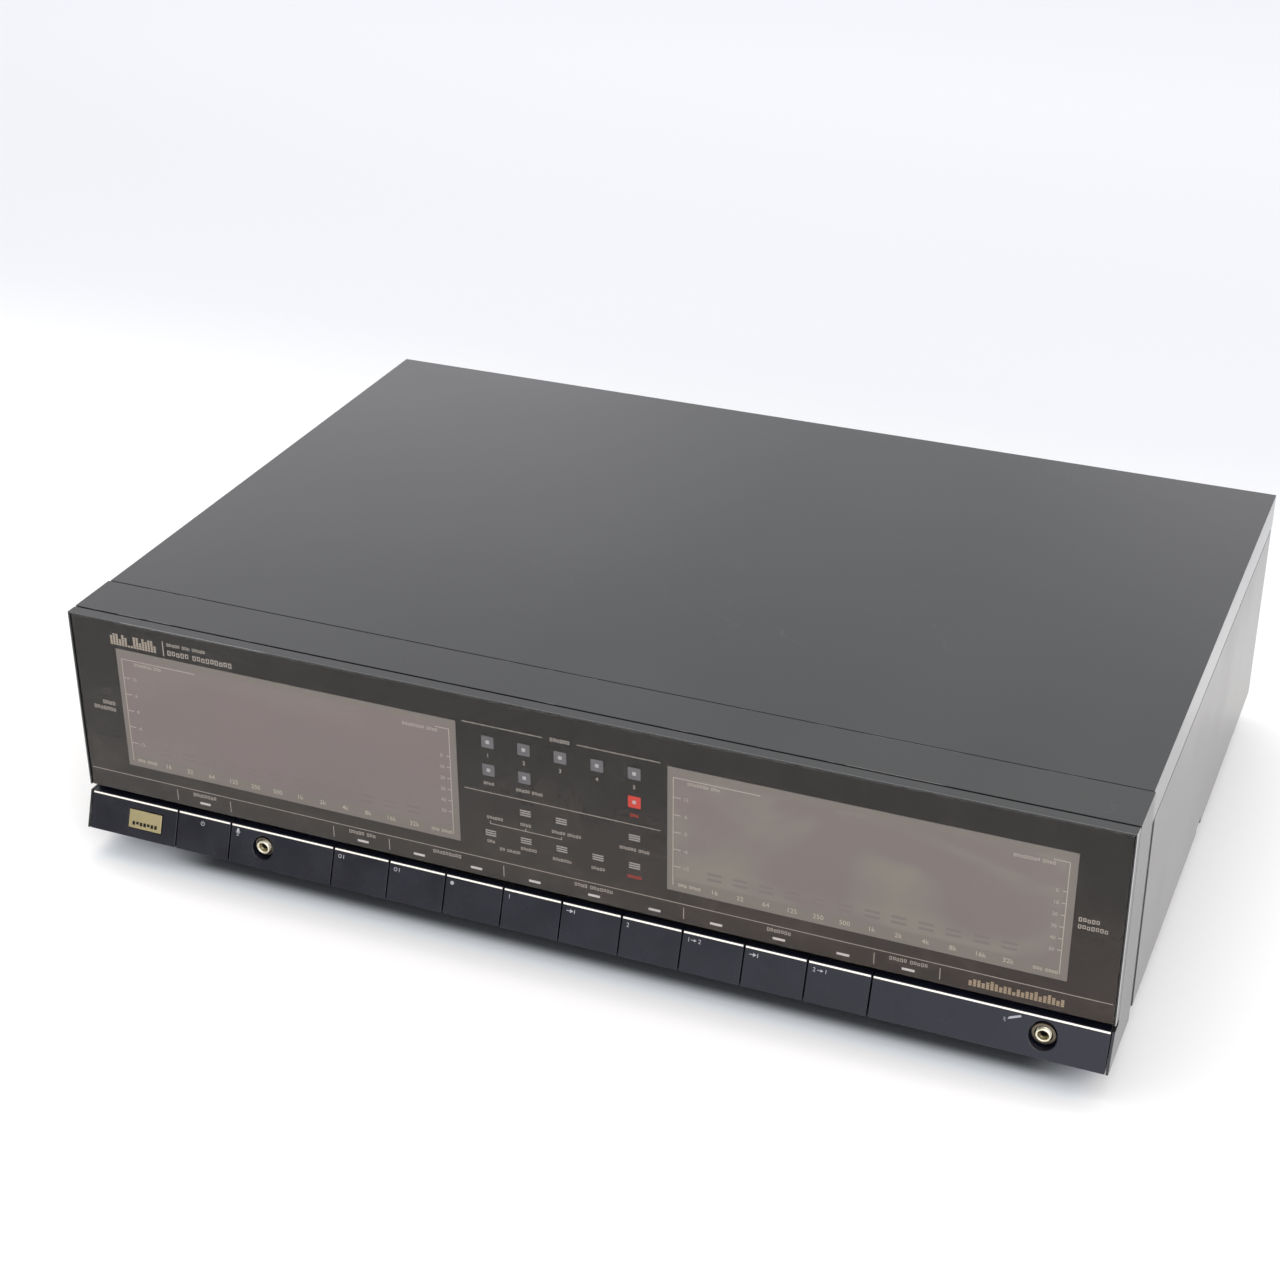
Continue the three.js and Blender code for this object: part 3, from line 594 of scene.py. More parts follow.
def display_film():
    """Milky filter film in front of each display: mauve, greyer in clouds and near its rim."""
    look = Look("display_film")
    across = look.math("ABSOLUTE", look.axis("X"))
    up = look.axis("Z")
    floor, roof = (ORIGIN.z + z * MM for z in (WINDOW_BOTTOM, WINDOW_TOP))
    edge = look.math("MINIMUM", look.math("SUBTRACT", across, WINDOW_INNER * MM),
                     look.math("SUBTRACT", WINDOW_OUTER * MM, across))
    foot = look.math("SUBTRACT", look.math("SUBTRACT", up, floor), 2.4 * MM)
    edge = look.math("MINIMUM", edge, foot)
    edge = look.math("MINIMUM", edge, look.math("SUBTRACT", roof, up))
    soft = look.noise(12, 3, 0.5, (1, 1, 1.4), (0.2, 0, 0.4), 0.6)
    cloud = look.noise(17, 3, 0.55, (0.8, 1, 1.5), (0.6, 0, 0.1), 0.7)
    mauve = look.mix(look.band(soft, 0.35, 0.68), (0.200, 0.182, 0.190, 1),
                     (0.214, 0.183, 0.196, 1))
    clouded = look.times(look.band(cloud, 0.44, 0.64, 0, 0.85),
                        look.band(look.axis("X"), -0.06, 0.06, 0.3, 1.0))
    mauve = look.mix(clouded, mauve, (0.236, 0.236, 0.212, 1))
    base = look.mix(look.band(edge, 0.0040, 0.0026, 0, 0.85), mauve, (0.198, 0.190, 0.182, 1))
    grain = look.noise(3000, 2, 0.5)
    return look.bonded(base, grain)


def tinted_film(name, color):
    """Coloured film or lens, a little uneven in its depth of colour."""
    look = Look(name)
    cloud = look.noise(70, 3, 0.55)
    grain = look.noise(2600, 2, 0.5)
    base = look.mix(look.band(cloud, 0.3, 0.7, 0, 0.2), grey(1, color), grey(0.72, color))
    return look.bonded(base, grain)


def foil_trim():
    """Hot-stamped pale foil along the top of the keys."""
    look = Look("foil_trim")
    hair = look.noise(700, 2, 0.6, (1, 30, 30))
    worn = look.band(look.noise(240, 4, 0.7), 0.6, 0.8)
    base = look.mix(look.band(hair, 0.3, 0.7), (0.86, 0.80, 0.68, 1), (0.93, 0.88, 0.78, 1))
    base = look.over(base, (0.35, 0.32, 0.28, 1), worn, 0.5)
    level = look.band(hair, 0.3, 0.7, 0.3, 0.42)
    return look.surface(base, level, hair, 0.004, Metallic=0.25)


def circuit_board_look():
    """Amber phenolic board: copper tracks show through the lacquer, with solder pads."""
    look = Look("circuit_board")
    track = look.put("TexVoronoi", {"Vector": look.stretch((90, 420, 420)), "Scale": 1.0},
                     distance="CHEBYCHEV")
    wall = look.band(track.outputs["Distance"], 0.40, 0.46)
    pads = look.specks(240, 0.45, 0.2)
    weave = look.noise(1500, 2, 0.6)
    base = look.mix(look.band(look.noise(30, 4, 0.6), 0.3, 0.7), (0.30, 0.19, 0.075, 1),
                    (0.22, 0.135, 0.05, 1))
    base = look.over(base, (0.12, 0.11, 0.03, 1), wall, 0.55)
    base = look.over(base, (0.62, 0.62, 0.6, 1), pads, 0.9)
    height = look.math("ADD", look.times(wall, 0.5), look.times(weave, 0.3))
    return look.surface(base, 0.38, height, 0.05)


def rubber_look():
    """Black rubber, dusty in patches."""
    look = Look("rubber")
    fine = look.noise(1400, 4, 0.7)
    dust = look.band(look.noise(120, 5, 0.65), 0.5, 0.78)
    base = look.over((0.014, 0.014, 0.015, 1), (0.13, 0.12, 0.11, 1), dust, 0.35)
    return look.surface(base, 0.82, fine, 0.03)


def laminated_core():
    """Varnished iron laminations, stacked along Y."""
    look = Look("core_steel")
    sheet = look.put("TexWave", {"Vector": look.stretch((0, 1, 0)), "Scale": 420.0},
                     bands_direction="Y")
    rust = look.band(look.noise(60, 5, 0.7), 0.55, 0.75)
    base = look.mix(sheet.outputs["Fac"], (0.05, 0.05, 0.055, 1), (0.16, 0.16, 0.17, 1))
    base = look.over(base, (0.15, 0.07, 0.035, 1), rust, 0.6)
    return look.surface(base, 0.48, sheet.outputs["Fac"], 0.08, Metallic=0.6)


def taped_winding():
    """Yellow polyester tape over the winding, with overlapping turns."""
    look = Look("copper_winding")
    turn = look.put("TexWave", {"Vector": look.stretch((0.25, 0, 1)), "Scale": 26.0,
                                "Distortion": 0.6, "Detail": 1.0},
                    wave_profile="SAW", bands_direction="Z")
    grain = look.noise(700, 3, 0.6)
    base = look.mix(turn.outputs["Fac"], (0.66, 0.42, 0.07, 1), (0.82, 0.56, 0.14, 1))
    base = look.mix(look.band(grain, 0.5, 0.8, 0, 0.3), base, (0.4, 0.22, 0.05, 1))
    height = look.math("ADD", turn.outputs["Fac"], look.times(grain, 0.2))
    return look.surface(base, 0.4, height, 0.09)


COVER_PAINT = satin_paint("case_paint", 0.019, 0.13, 0.13)
SIDE_PAINT = satin_paint("side_paint", 0.022, 0.215, 0.08, tint=(1, 0.92, 0.84, 1))
REAR_PAINT = satin_paint("rear_paint", 0.022, 0.30, 0.0)
BEZEL_PAINT = satin_paint("bezel_plastic", 0.016, 0.22, 0.05, 0.7,
                          [(-194, -185), (-180, -171), (110, 145)])
# The frame's rims are painted highlights along its outer edges, full on the right front edge; from
# X -190 to -125 they are partly rubbed wear.
FRAME_PAINT = satin_paint("frame_plastic", 0.017, 0.24, 0.05, 0.4, chipped=0.0,
                          worn_and_highlit_rims=((-214, 214, 0.15), (-190, -125, 0.25), (214.75, 216, 1.0)))
ACRYLIC = smoked_acrylic()
MASK_INK = printed_mask()
PALE_INK = printing_ink("pale_ink", (0.46, 0.44, 0.42))
DIM_INK = printing_ink("dim_ink", (0.43, 0.40, 0.35))
GOLD_INK = printing_ink("gold_ink", (0.42, 0.35, 0.25))
RED_INK = printing_ink("red_ink", (0.52, 0.045, 0.03))
KEY_INK = printing_ink("key_ink", (0.34, 0.335, 0.35), 0.35, False)
FILM = display_film()
TUBE = tinted_film("display_glass", (0.198, 0.190, 0.182))
SCALE_INK = printing_ink("scale_ink", (0.46, 0.43, 0.405), 0.3)
LABEL_INK = printing_ink("label_ink", (0.52, 0.495, 0.43), 0.3)
SEGMENT = tinted_film("display_segments", (0.203, 0.183, 0.187))
SQUARE_FILM = tinted_film("target_square", (0.14, 0.148, 0.168))
SQUARE_SPOT = tinted_film("target_spot", (0.42, 0.44, 0.48))
RED_FILM = tinted_film("target_red", (0.62, 0.05, 0.035))
BAR_FILM = tinted_film("target_bar", (0.018, 0.018, 0.02))
BAR_STRIPE = tinted_film("target_stripe", (0.36, 0.365, 0.38))
LAMP = tinted_film("lamp_plastic", (0.66, 0.67, 0.69))
KEY_NAVY = moulded_plastic("key_plastic", (0.0050, 0.0056, 0.0105), 0.26, 3000, 0.003, 0.5, 0.04)
FOIL = foil_trim()
BLACK = moulded_plastic("black_plastic", (0.016, 0.016, 0.017), 0.5)
GOLD = worked_metal("badge_gold", (0.53, 0.455, 0.25), 0.36, (1, 60, 60), 900)
BRASS = worked_metal("jack_metal", (0.82, 0.77, 0.60), 0.30, (1, 1, 1), 1200, 0.003, 0.5)
# Darker brass for the inside of the jack throats: painted shade of the hollow.
SHADED_BRASS = worked_metal("jack_shaded_throat", (0.20, 0.175, 0.10), 0.4, (1, 1, 1), 1200, 0.003, 0.5)
JACK_NUT = worked_metal("jack_nut", (0.17, 0.145, 0.11), 0.4, (1, 1, 1), 900)
NICKEL = worked_metal("jack_shell", (0.66, 0.66, 0.64), 0.22, (1, 8, 1), 900, 0.003)
ZINC = worked_metal("zinc_steel", (0.56, 0.57, 0.56), 0.36, (1, 6, 6), 220, 0.01, 0.7)
ALUMINIUM = worked_metal("heatsink_aluminium", (0.60, 0.61, 0.62), 0.38, (8, 8, 0.3), 500)
SCREW = worked_metal("screw_steel", (0.09, 0.09, 0.095), 0.36, (1, 1, 1), 900)
PCB = circuit_board_look()
RUBBER = rubber_look()
CORE = laminated_core()
WINDING = taped_winding()
WHITE_PLASTIC = moulded_plastic("jack_white", (0.62, 0.60, 0.56), 0.4)
RED_PLASTIC = moulded_plastic("jack_red", (0.42, 0.02, 0.018), 0.4)
SLEEVE = moulded_plastic("capacitor_sleeve", (0.012, 0.02, 0.05), 0.3)
CHIP = moulded_plastic("chip_plastic", (0.02, 0.02, 0.021), 0.55)
CABLE = moulded_plastic("ribbon_grey", (0.26, 0.27, 0.28), 0.5)
RESISTOR = moulded_plastic("resistor_beige", (0.46, 0.33, 0.19), 0.4)
FILM_BOX = moulded_plastic("film_box_yellow", (0.58, 0.40, 0.05), 0.4)
REAR_INK = printing_ink("rear_ink", (0.52, 0.52, 0.50), 0.35, False)


# ---------------------------------------------------------------- stage and camera

def add_camera():
    """Stands in front of the right end and looks down on the unit."""
    data = bpy.data.cameras.new("camera")
    data.lens = 65.93
    data.sensor_width = 36
    camera = bpy.data.objects.new("camera", data)
    camera.location = (0.3140, -0.8254, 0.5484)
    camera.rotation_euler = [math.radians(a) for a in (61.43, 0.183, 22.427)]
    bpy.context.scene.collection.objects.link(camera)
    bpy.context.scene.camera = camera


def floor_look():
    """Pale seamless paper, cooler far behind the unit, with painted light in front of the unit
    and painted shadow under it, darkest between the feet."""
    look = Look("floor_paper")
    across, away = look.axis("X"), look.axis("Y")
    grain = look.noise(500, 3, 0.6)
    base = look.mix(look.band(away, 0.1, 0.48), (0.86, 0.846, 0.832, 1), (0.625, 0.628, 0.648, 1))
    base = look.mix(look.band(away, 0.6, 1.2), base, (0.672, 0.677, 0.70, 1))
    # painted light: a brighter band of floor just in front of the unit, which tightens its shadow
    painted_light_front = look.band(away, -0.157, -0.171)
    base = look.mix(painted_light_front, base, (1.0, 0.98, 0.965, 1))
    # painted shade: the floor is darker under the unit
    under = look.times(look.between(across, -0.205, 0.2, 0.012),
                       look.between(away, -0.152, 0.13, 0.008))
    base = look.mix(under, base, (0.735, 0.765, 0.785, 1))
    # painted shadow: much darker still between the feet
    deep = look.times(look.between(across, -0.16, 0.18, 0.03),
                      look.between(away, -0.1420, 0.12, 0.0085))
    base = look.mix(deep, base, (0.09, 0.095, 0.10, 1))
    base = look.mix(look.band(grain, 0.4, 0.8, 0, 0.03), base, (0.7, 0.7, 0.7, 1))
    return look.surface(base, 0.7, grain, 0.02)


def add_floor():
    reach = 6.0
    points = [(x * reach, y * reach, FLOOR_Z) for x, y in ((-1, -1), (1, -1), (1, 1), (-1, 1))]
    data = bpy.data.meshes.new("floor")
    data.from_pydata(points, [], [(0, 1, 2, 3)])
    data.materials.append(floor_look())
    floor = bpy.data.objects.new("floor", data)
    bpy.context.scene.collection.objects.link(floor)


def add_world():
    """White studio walls with a glow low behind the unit. Low in front of it they go from
    black on the left to a bright panel on the right."""
    look = Look("studio", True)
    x, y, z = (look.axis(letter) for letter in "XYZ")
    wall = look.math("MAXIMUM", look.band(y, -0.55, 0.25), look.band(z, 0.15, 0.7))
    front = look.mix(look.band(x, -0.5, 0.08), (0, 0, 0, 1), (1.75, 1.78, 2.15, 1))
    glow = look.times(look.band(y, 0.3, 0.7), look.band(z, 0.52, 0.36))
    gap = look.band(look.math("ABSOLUTE", look.math("ADD", x, 0.25)), 0.02, 0.16)
    rear = look.mix(look.times(glow, gap), (0.97, 0.985, 1.0, 1), (1.38, 1.365, 1.42, 1))
    color = look.mix(wall, front, rear)
    shine = look.put("Background", {"Color": color}).outputs[0]
    look.put("OutputWorld", {"Surface": shine})
    bpy.context.scene.world = look.owner


def add_light(name, place, aim, size, power, color=(1, 1, 1)):
    data = bpy.data.lights.new(name, "AREA")
    data.shape = "RECTANGLE"
    data.size, data.size_y = size
    data.energy = power
    data.color = color
    light = bpy.data.objects.new(name, data)
    light.location = place
    light.rotation_euler = (Vector(aim) - Vector(place)).to_track_quat("-Z", "Y").to_euler()
    bpy.context.scene.collection.objects.link(light)


def add_lights():
    """A large softbox above and behind the unit, and a smaller one in front of it."""
    add_light("overhead_softbox", (-0.5, 0.5, 2.3), (0, 0, 0), (3.0, 2.4), 23, (1, 0.985, 0.96))
    add_light("front_softbox", (1.1, -2.0, 1.6), (0, -0.1, 0), (2.4, 1.4), 36, (1, 0.99, 0.97))


# ---------------------------------------------------------------- face

def columns(rows, heights):
    """Centres (x, z) of a set of targets, by its columns and row heights."""
    return [((c - 2) * TARGET_PITCH, z) for cs, z in zip(rows, heights) for c in cs]


SQUARES = columns(SQUARE_COLUMNS, SQUARE_ROWS)
RED_SQUARE = SQUARES[-1]
BARS = columns(BAR_COLUMNS, BAR_ROWS)


def around(x, z, width, height):
    return (x - width / 2, x + width / 2, z - height / 2, z + height / 2)


def flat(outline, front, back):
    """An outline (x, z) made solid from front to back."""
    return bar(outline, "Y", front, back)


def strip(x0, x1, z0, z1):
    """A printed bar in the ink layer of the face."""
    return block(x0, x1, INK_DEPTH, MASK_DEPTH, z0, z1)


WINDOWS = ((-WINDOW_OUTER + 0.5, -WINDOW_INNER - 0.2), (WINDOW_INNER + 0.2, WINDOW_OUTER + 1.0))


def make_face_sheet():
    """The clear sheet, and the mask printed behind it with its windows."""
    sheet = block(PANEL_LOW.x, PANEL_HIGH.x, 0, PANEL_DEPTH, PANEL_LOW.z, PANEL_HIGH.z)
    sheet.place("face_sheet", ACRYLIC, slot="smoked_acrylic", replaces=["face_panel"], bevel=0.06)
    windows = [around(x, z, SQUARE, SQUARE) for x, z in SQUARES]
    windows += [around(x, z, SQUARE - 0.2, BAR_HEIGHT) for x, z in BARS]
    windows += [around(x, LAMP_Z, *LAMP_SIZE) for x in LAMP_X]
    windows += [(left, right, WINDOW_BOTTOM, WINDOW_TOP) for left, right in WINDOWS]
    mask = plate_with_windows(PANEL_LOW.x, PANEL_HIGH.x, MASK_DEPTH, MASK_DEPTH + MASK_THICKNESS,
                              PANEL_LOW.z, PANEL_HIGH.z, windows)
    mask.place("face_mask", MASK_INK, slot="smoked_acrylic", crease=20)


def greeked(x, z, counts, height=1.35, align="CENTER"):
    """Neutral hollow blocks in place of words: counts are the blocks of each word."""
    width, gap, space, stroke = height * 0.66, height * 0.26, height * 0.9, height * 0.17
    total = sum(n * width + (n - 1) * gap for n in counts) + (len(counts) - 1) * space
    left = x - total * {"LEFT": 0, "CENTER": 0.5, "RIGHT": 1}[align]
    shape = Shape()
    for n in counts:
        for i in range(n):
            low = z + (0.12 * height if i % 3 == 1 else 0)
            high = z + height - (0.16 * height if i % 4 == 2 else 0)
            right = left + width
            shape.add(strip(left, right, low, low + stroke),
                      strip(left, right, high - stroke, high),
                      strip(left, left + stroke, low + stroke, high - stroke),
                      strip(right - stroke, right, low + stroke, high - stroke))
            left += width + gap
        left += space - gap
    return shape


def figures(text, height, x, z):
    return lettering(text, height, x, z).moved(y=(INK_DEPTH + MASK_DEPTH) / 2)


def pictogram(x, z, width, heights, unit, gap, cover):
    """A row of level bars built of small square blocks."""
    shape = Shape()
    step = width / len(heights)
    for i, height in enumerate(heights):
        for row in range(height):
            low = z + row * (unit + gap)
            shape.add(strip(x + i * step, x + i * step + step * cover, low, low + unit))
    return shape


def make_face_rules():
    """Thin printed lines of the face: the long rule, its ticks, and the centre lines."""
    line = 0.28
    lines = Shape()
    lines.add(strip(-HALF_WIDTH + 2, HALF_WIDTH - 2, RULE_Z, RULE_Z + line))
    tick_foot, tick_top = 19.9, 24.9
    for x in (-172.5, -147.5, -100, -75, -25, 50, 125, 150):
        lines.add(strip(x - line / 2, x + line / 2, tick_foot, tick_top))
    for x0, x1, z in ((-40.5, -7, 86.7), (7, 40.5, 86.7), (-40.5, 40.5, 57.1)):
        lines.add(strip(x0, x1, z, z + line))
    bracket_z = 43.1
    lines.add(strip(-2 * TARGET_PITCH, 0, bracket_z, bracket_z + line))
    for x in (-2 * TARGET_PITCH, -TARGET_PITCH, 0):
        lines.add(strip(x - line / 2, x + line / 2, bracket_z, bracket_z + 1.3))
    lines.add(strip(-171.9, -171.5, 87.3, 93.9))
    lines.place("face_rules", PALE_INK, slot="smoked_acrylic")


def make_face_legends():
    """Figures of the memory squares, and neutral blocks where the words of the face stand."""
    legends = Shape()
    for i, (x, z) in enumerate(SQUARES[:5]):
        legends.add(figures(str(i + 1), 1.7, x, z - 6.6))
    legends.add(greeked(0, 86.1, (6,), 1.5))
    for x, z, counts in (
            (-30, 60.7, (4,)), (-13, 60.7, (5, 4)), (-28, 45.4, (6,)), (-15, 45.4, (4,)),
            (2, 45.4, (5, 5)), (30, 45.4, (6, 4)), (-30, 34.4, (3,)), (-14, 34.4, (6,)),
            (-22, 31.9, (2, 5)), (0, 33.1, (7,)), (15, 33.1, (5,))):
        legends.add(greeked(x, z, counts, 1.25))
    for x, counts in ((-160, (8,)), (-87.5, (5, 3)), (-50, (9,)), (12.5, (4, 7)), (87.5, (7,)),
                      (137.5, (5, 5))):
        legends.add(greeked(x + 0.5, 23.6, counts, 1.5))
    for x, z, counts, height, align in (
            (-198.0, 58.9, (4,), 1.65, "RIGHT"), (-198.0, 56.0, (7,), 1.65, "RIGHT"),
            (197.9, 58.6, (5,), 1.7, "LEFT"), (197.9, 55.6, (7,), 1.7, "LEFT"),
            (-169.8, 92.1, (5, 3, 5), 1.35, "LEFT"), (-169.8, 88.0, (5, 9), 2.2, "LEFT")):
        legends.add(greeked(x, z, counts, height, align))
    legends.place("face_legends", PALE_INK, slot="smoked_acrylic")
    warning = Shape()
    warning.add(greeked(30, 60.7, (3,), 1.3), greeked(30, 33.1, (5,), 1.3))
    warning.place("face_red_legends", RED_INK, slot="smoked_acrylic")
    heights = (4, 5, 5, 3, 5, 4, 1, 1, 5, 5, 3, 5, 4, 5, 5, 3)
    emblem = pictogram(-196.3, 87.9, 21.5, heights, 0.88, 0.16, 0.74)
    emblem.place("face_level_mark", DIM_INK, slot="smoked_acrylic")
    levels = (3, 4, 4, 3, 4, 5, 4, 3, 4, 4, 2, 4, 3, 4, 4, 5, 3, 4, 5, 4, 3, 4)
    band = pictogram(160.8, 20.5, 35.5, levels, 0.62, 0.16, 0.72)
    band.place("face_gold_mark", GOLD_INK, slot="smoked_acrylic")


def make_targets():
    """Square and striped light-pen targets on the moulded block behind the face."""
    low, high = unit_box("pen_target_block")
    front = MASK_DEPTH + 0.02
    back = low.y + 3
    base = block(low.x, high.x, back, high.y, low.z, high.z)
    base.place("target_block", BLACK, slot="black_plastic", replaces=["pen_target_block"],
               bevel=0.4)
    inset = 0.06
    tiles, spots, bars, stripes = Shape(), Shape(), Shape(), Shape()
    for x, z in SQUARES:
        half = SQUARE / 2 - inset
        tile = flat(rounded(x - half, x + half, z - half, z + half, 0.4), front, back)
        spot = flat(rounded(x - 0.75, x + 0.75, z - 0.75, z + 0.75, 0.3), front - 0.02, front + 1)
        if (x, z) == RED_SQUARE:
            tile.place("target_red_square", RED_FILM, slot="black_plastic")
            spot.place("target_red_spot", PALE_INK, slot="lamp_plastic")
        else:
            tiles.add(tile)
            spots.add(spot)
    for x, z in BARS:
        half = SQUARE / 2 - 0.1 - inset
        bars.add(block(x - half, x + half, front, back, z - 1.44, z + 1.44))
        for rise in (-1.0, 0, 1.0):
            low, high = z + rise - 0.3, z + rise + 0.3
            stripes.add(block(x - half + 0.15, x + half - 0.15, front - 0.02, front + 0.5,
                              low, high))
    tiles.place("target_squares", SQUARE_FILM, slot="black_plastic")
    spots.place("target_spots", SQUARE_SPOT, slot="lamp_plastic")
    bars.place("target_bars", BAR_FILM, slot="black_plastic")
    stripes.place("target_stripes", BAR_STRIPE, slot="lamp_plastic")


def make_lamps():
    """The strip of indicator lamps, which reach up to the mask."""
    low, high = unit_box("indicator_strip")
    lamps = block(low.x, high.x, 6, high.y, low.z, high.z)
    half = LAMP_SIZE[0] / 2 - 0.05
    height = LAMP_SIZE[1] / 2 - 0.05
    for x in LAMP_X:
        outline = rounded(x - half, x + half, LAMP_Z - height, LAMP_Z + height, 0.25)
        lamps.add(flat(outline, MASK_DEPTH, 6.2))
    lamps.place("indicator_lamps", LAMP, slot="lamp_plastic", replaces=["indicator_strip"])


# ---------------------------------------------------------------- displays

FREQUENCIES = ("16", "32", "64", "125", "250", "500", "1k", "2k", "4k", "8k", "16k", "32k")
BAND_START = 19.0
BAND_PITCH = 10.2


def make_display_film(side_name, left, right):
    """The filter film of one display with its faint level bars and printed scales."""
    gap = 0.05
    film = block(left + gap, right - gap, MASK_DEPTH, MASK_DEPTH + MASK_THICKNESS,
                 WINDOW_BOTTOM + gap, WINDOW_TOP - gap)
    film.place("display_film_" + side_name, FILM, slot="display_glass")
    front, half, height = MASK_DEPTH - 0.012, 2.9, 1.15
    bars = Shape()
    for i in range(len(FREQUENCIES)):
        centre = left + BAND_START + BAND_PITCH * i
        for row in range(2):
            z = WINDOW_BOTTOM + 8.0 + row * 2.35
            bars.add(block(centre - half, centre + half, front, MASK_DEPTH + gap, z, z + height))
    bars.place("display_bars_" + side_name, SEGMENT, slot="display_glass")
    line = 0.35
    scale = Shape()
    left_x, right_x = left + 2.2, right - 2.8
    foot, top = WINDOW_BOTTOM + 2.6, WINDOW_TOP - 4.6
    scale.add(strip(left_x, left_x + line, foot, top))
    scale.add(strip(left_x, left_x + 34, top, top + line))
    scale.add(strip(right_x - line, right_x, foot, top))
    scale.add(strip(right_x - 6, right_x, top, top + line))
    for i, value in enumerate(("12", "6", "0", "-6", "-12")):
        z = WINDOW_BOTTOM + 41.3 - 7.6 * i
        scale.add(strip(left_x, left_x + 3.2, z, z + line))
        scale.add(figures(value, 1.5, left_x + 5.2, z - 0.6))
    for i, value in enumerate(("0", "10", "20", "30", "40", "50")):
        z = WINDOW_BOTTOM + 37.5 - 5.0 * i
        scale.add(strip(right_x - 1.8, right_x, z, z + line))
        scale.add(figures(value, 1.5, right_x - 3.8, z - 0.6))
    scale.add(greeked(left + 8, WINDOW_TOP - 6.6, (7, 3), 1.3, "LEFT"))
    scale.add(greeked(right - 8, WINDOW_TOP - 6.6, (8, 4), 1.3, "RIGHT"))
    scale.place("display_scale_" + side_name, SCALE_INK, slot="display_glass")
    labels = Shape()
    for i, value in enumerate(FREQUENCIES):
        x = left + BAND_START + BAND_PITCH * i
        labels.add(figures(value, 2.0, x, WINDOW_BOTTOM + 2.2))
    labels.add(greeked(left + 4.6, WINDOW_BOTTOM + 2.4, (3, 4), 1.3, "LEFT"))
    labels.add(greeked(right - 3.6, WINDOW_BOTTOM + 2.4, (3, 4), 1.3, "RIGHT"))
    labels.place("display_labels_" + side_name, LABEL_INK, slot="display_glass")


# ---------------------------------------------------------------- keys and fixed blocks

def key_section(rear):
    """Section (y, z) of the keys and blocks, which lean out towards their foot."""
    return [(0, KEY_TOP), (-KEY_LEAN, 0), (rear, 0), (rear, KEY_TOP)]


def slab_on_face(x0, x1, low, high, thickness, proud):
    """A thin slab on the leaning face, from low to high up the slope."""
    return on_key_face(block(x0, x1, 0, thickness + proud, low, high), proud)


def place_trim(name, x0, x1, body="chassis"):
    """The foil along the top of a key or block."""
    top = KEY_FACE - TRIM_DROP
    trim = slab_on_face(x0 + TRIM_END, x1 - TRIM_END, top - TRIM_HEIGHT, top, 0.2, 0.05)
    trim.place(name, FOIL, body, slot="lamp_plastic", bevel=0.04, segments=2)


def mark(outline):
    """A flat printed mark on the leaning faces, outlined in X and distance up the slope."""
    return on_key_face(bar(outline, "Y", 0, MARK_THICKNESS), MARK_PROUD)


def ring_mark(x, s, radius, width, start=0, end=360):
    steps = 28
    outer = arc(x, s, radius, start, end, steps)
    inner = arc(x, s, radius - width, end, start, steps)
    if end - start < 360:
        return mark(outer + inner)
    shape = Shape()
    for i in range(steps):
        shape.add(mark([outer[i], outer[i + 1], inner[steps - i - 1], inner[steps - i]]))
    return shape


def box_mark(x0, x1, s0, s1):
    return mark([(x0, s0), (x1, s0), (x1, s1), (x0, s1)])


def text_mark(text, x, s):
    shape = lettering(text, LEGEND_HEIGHT, x, s, "LEFT", MARK_THICKNESS)
    return on_key_face(shape, MARK_PROUD - MARK_THICKNESS / 2)


def arrow_mark(x, s):
    return box_mark(x, x + 1.3, s - 0.12, s + 0.12).add(
        mark([(x + 1.3, s - 0.6), (x + 2.4, s), (x + 1.3, s + 0.6)]))


def key_legend(key, left):
    """The mark of one key, near the top left corner of its face."""
    x = left + 1.9
    s = LEGEND_S
    if key == POWER_KEY:
        centre = left + 11.5
        return ring_mark(centre, s + 0.6, 0.95, 0.24, 120, 420).add(
            box_mark(centre - 0.12, centre + 0.12, s + 0.5, s + 1.8))
    if key == "key_eq_rec":
        return mark(arc(x + 0.8, s + 0.8, 0.8, 0, 345, 20))
    if key in ("key_noise_rec", "key_eq_on"):
        return ring_mark(x + 0.8, s + 0.8, 0.8, 0.26).add(box_mark(x + 2.3, x + 2.6, s, s + 1.6))
    if key == "key_tape_1":
        return text_mark("1", x, s)
    if key == "key_tape_2":
        return text_mark("2", x, s)
    if key == "key_dub_1_to_2":
        return text_mark("1", x, s).add(arrow_mark(x + 1.4, s + 0.8), text_mark("2", x + 4.4, s))
    if key == "key_dub_2_to_1":
        return text_mark("2", x, s).add(arrow_mark(x + 1.8, s + 0.8), text_mark("1", x + 4.6, s))
    return box_mark(x, x + 1.5, s + 0.65, s + 0.95).add(
        mark([(x + 1.5, s), (x + 2.9, s + 0.8), (x + 1.5, s + 1.6)]),
        box_mark(x + 3.2, x + 3.5, s, s + 1.6))


def make_key(key):
    """A key's cap with its stem, its foil and its mark."""
    low, high = unit_box(key)
    stem_half = 4
    centre = middle(key)[0]
    stem = block(centre - stem_half, centre + stem_half, KEY_REAR - 1, high.y, 5.5, 9.5)
    cap = carved(bar(key_section(KEY_REAR), "X", low.x, high.x), join=[stem])
    cap.place(key + "_cap", KEY_NAVY, key, slot="key_plastic", replaces=[key], bevel=0.15)
    place_trim(key + "_trim", low.x, high.x, key)
    key_legend(key, low.x).place(key + "_legend", KEY_INK, key, slot="lamp_plastic")


def rod_y(radius, x, z, y0, y1, sides=64):
    return turned([(0, y0), (radius, y0), (radius, y1), (0, y1)], "Y", x, 0, z, sides)


def make_fixed_block(name, *cuts):
    """A block with the section of the keys that stays in place."""
    low, high = unit_box(name)
    body = carved(bar(key_section(BLOCK_REAR), "X", low.x, high.x), *cuts)
    body.place(name + "_body", KEY_NAVY, slot="key_plastic", replaces=[name], bevel=0.25)
    place_trim(name + "_trim", low.x, high.x)


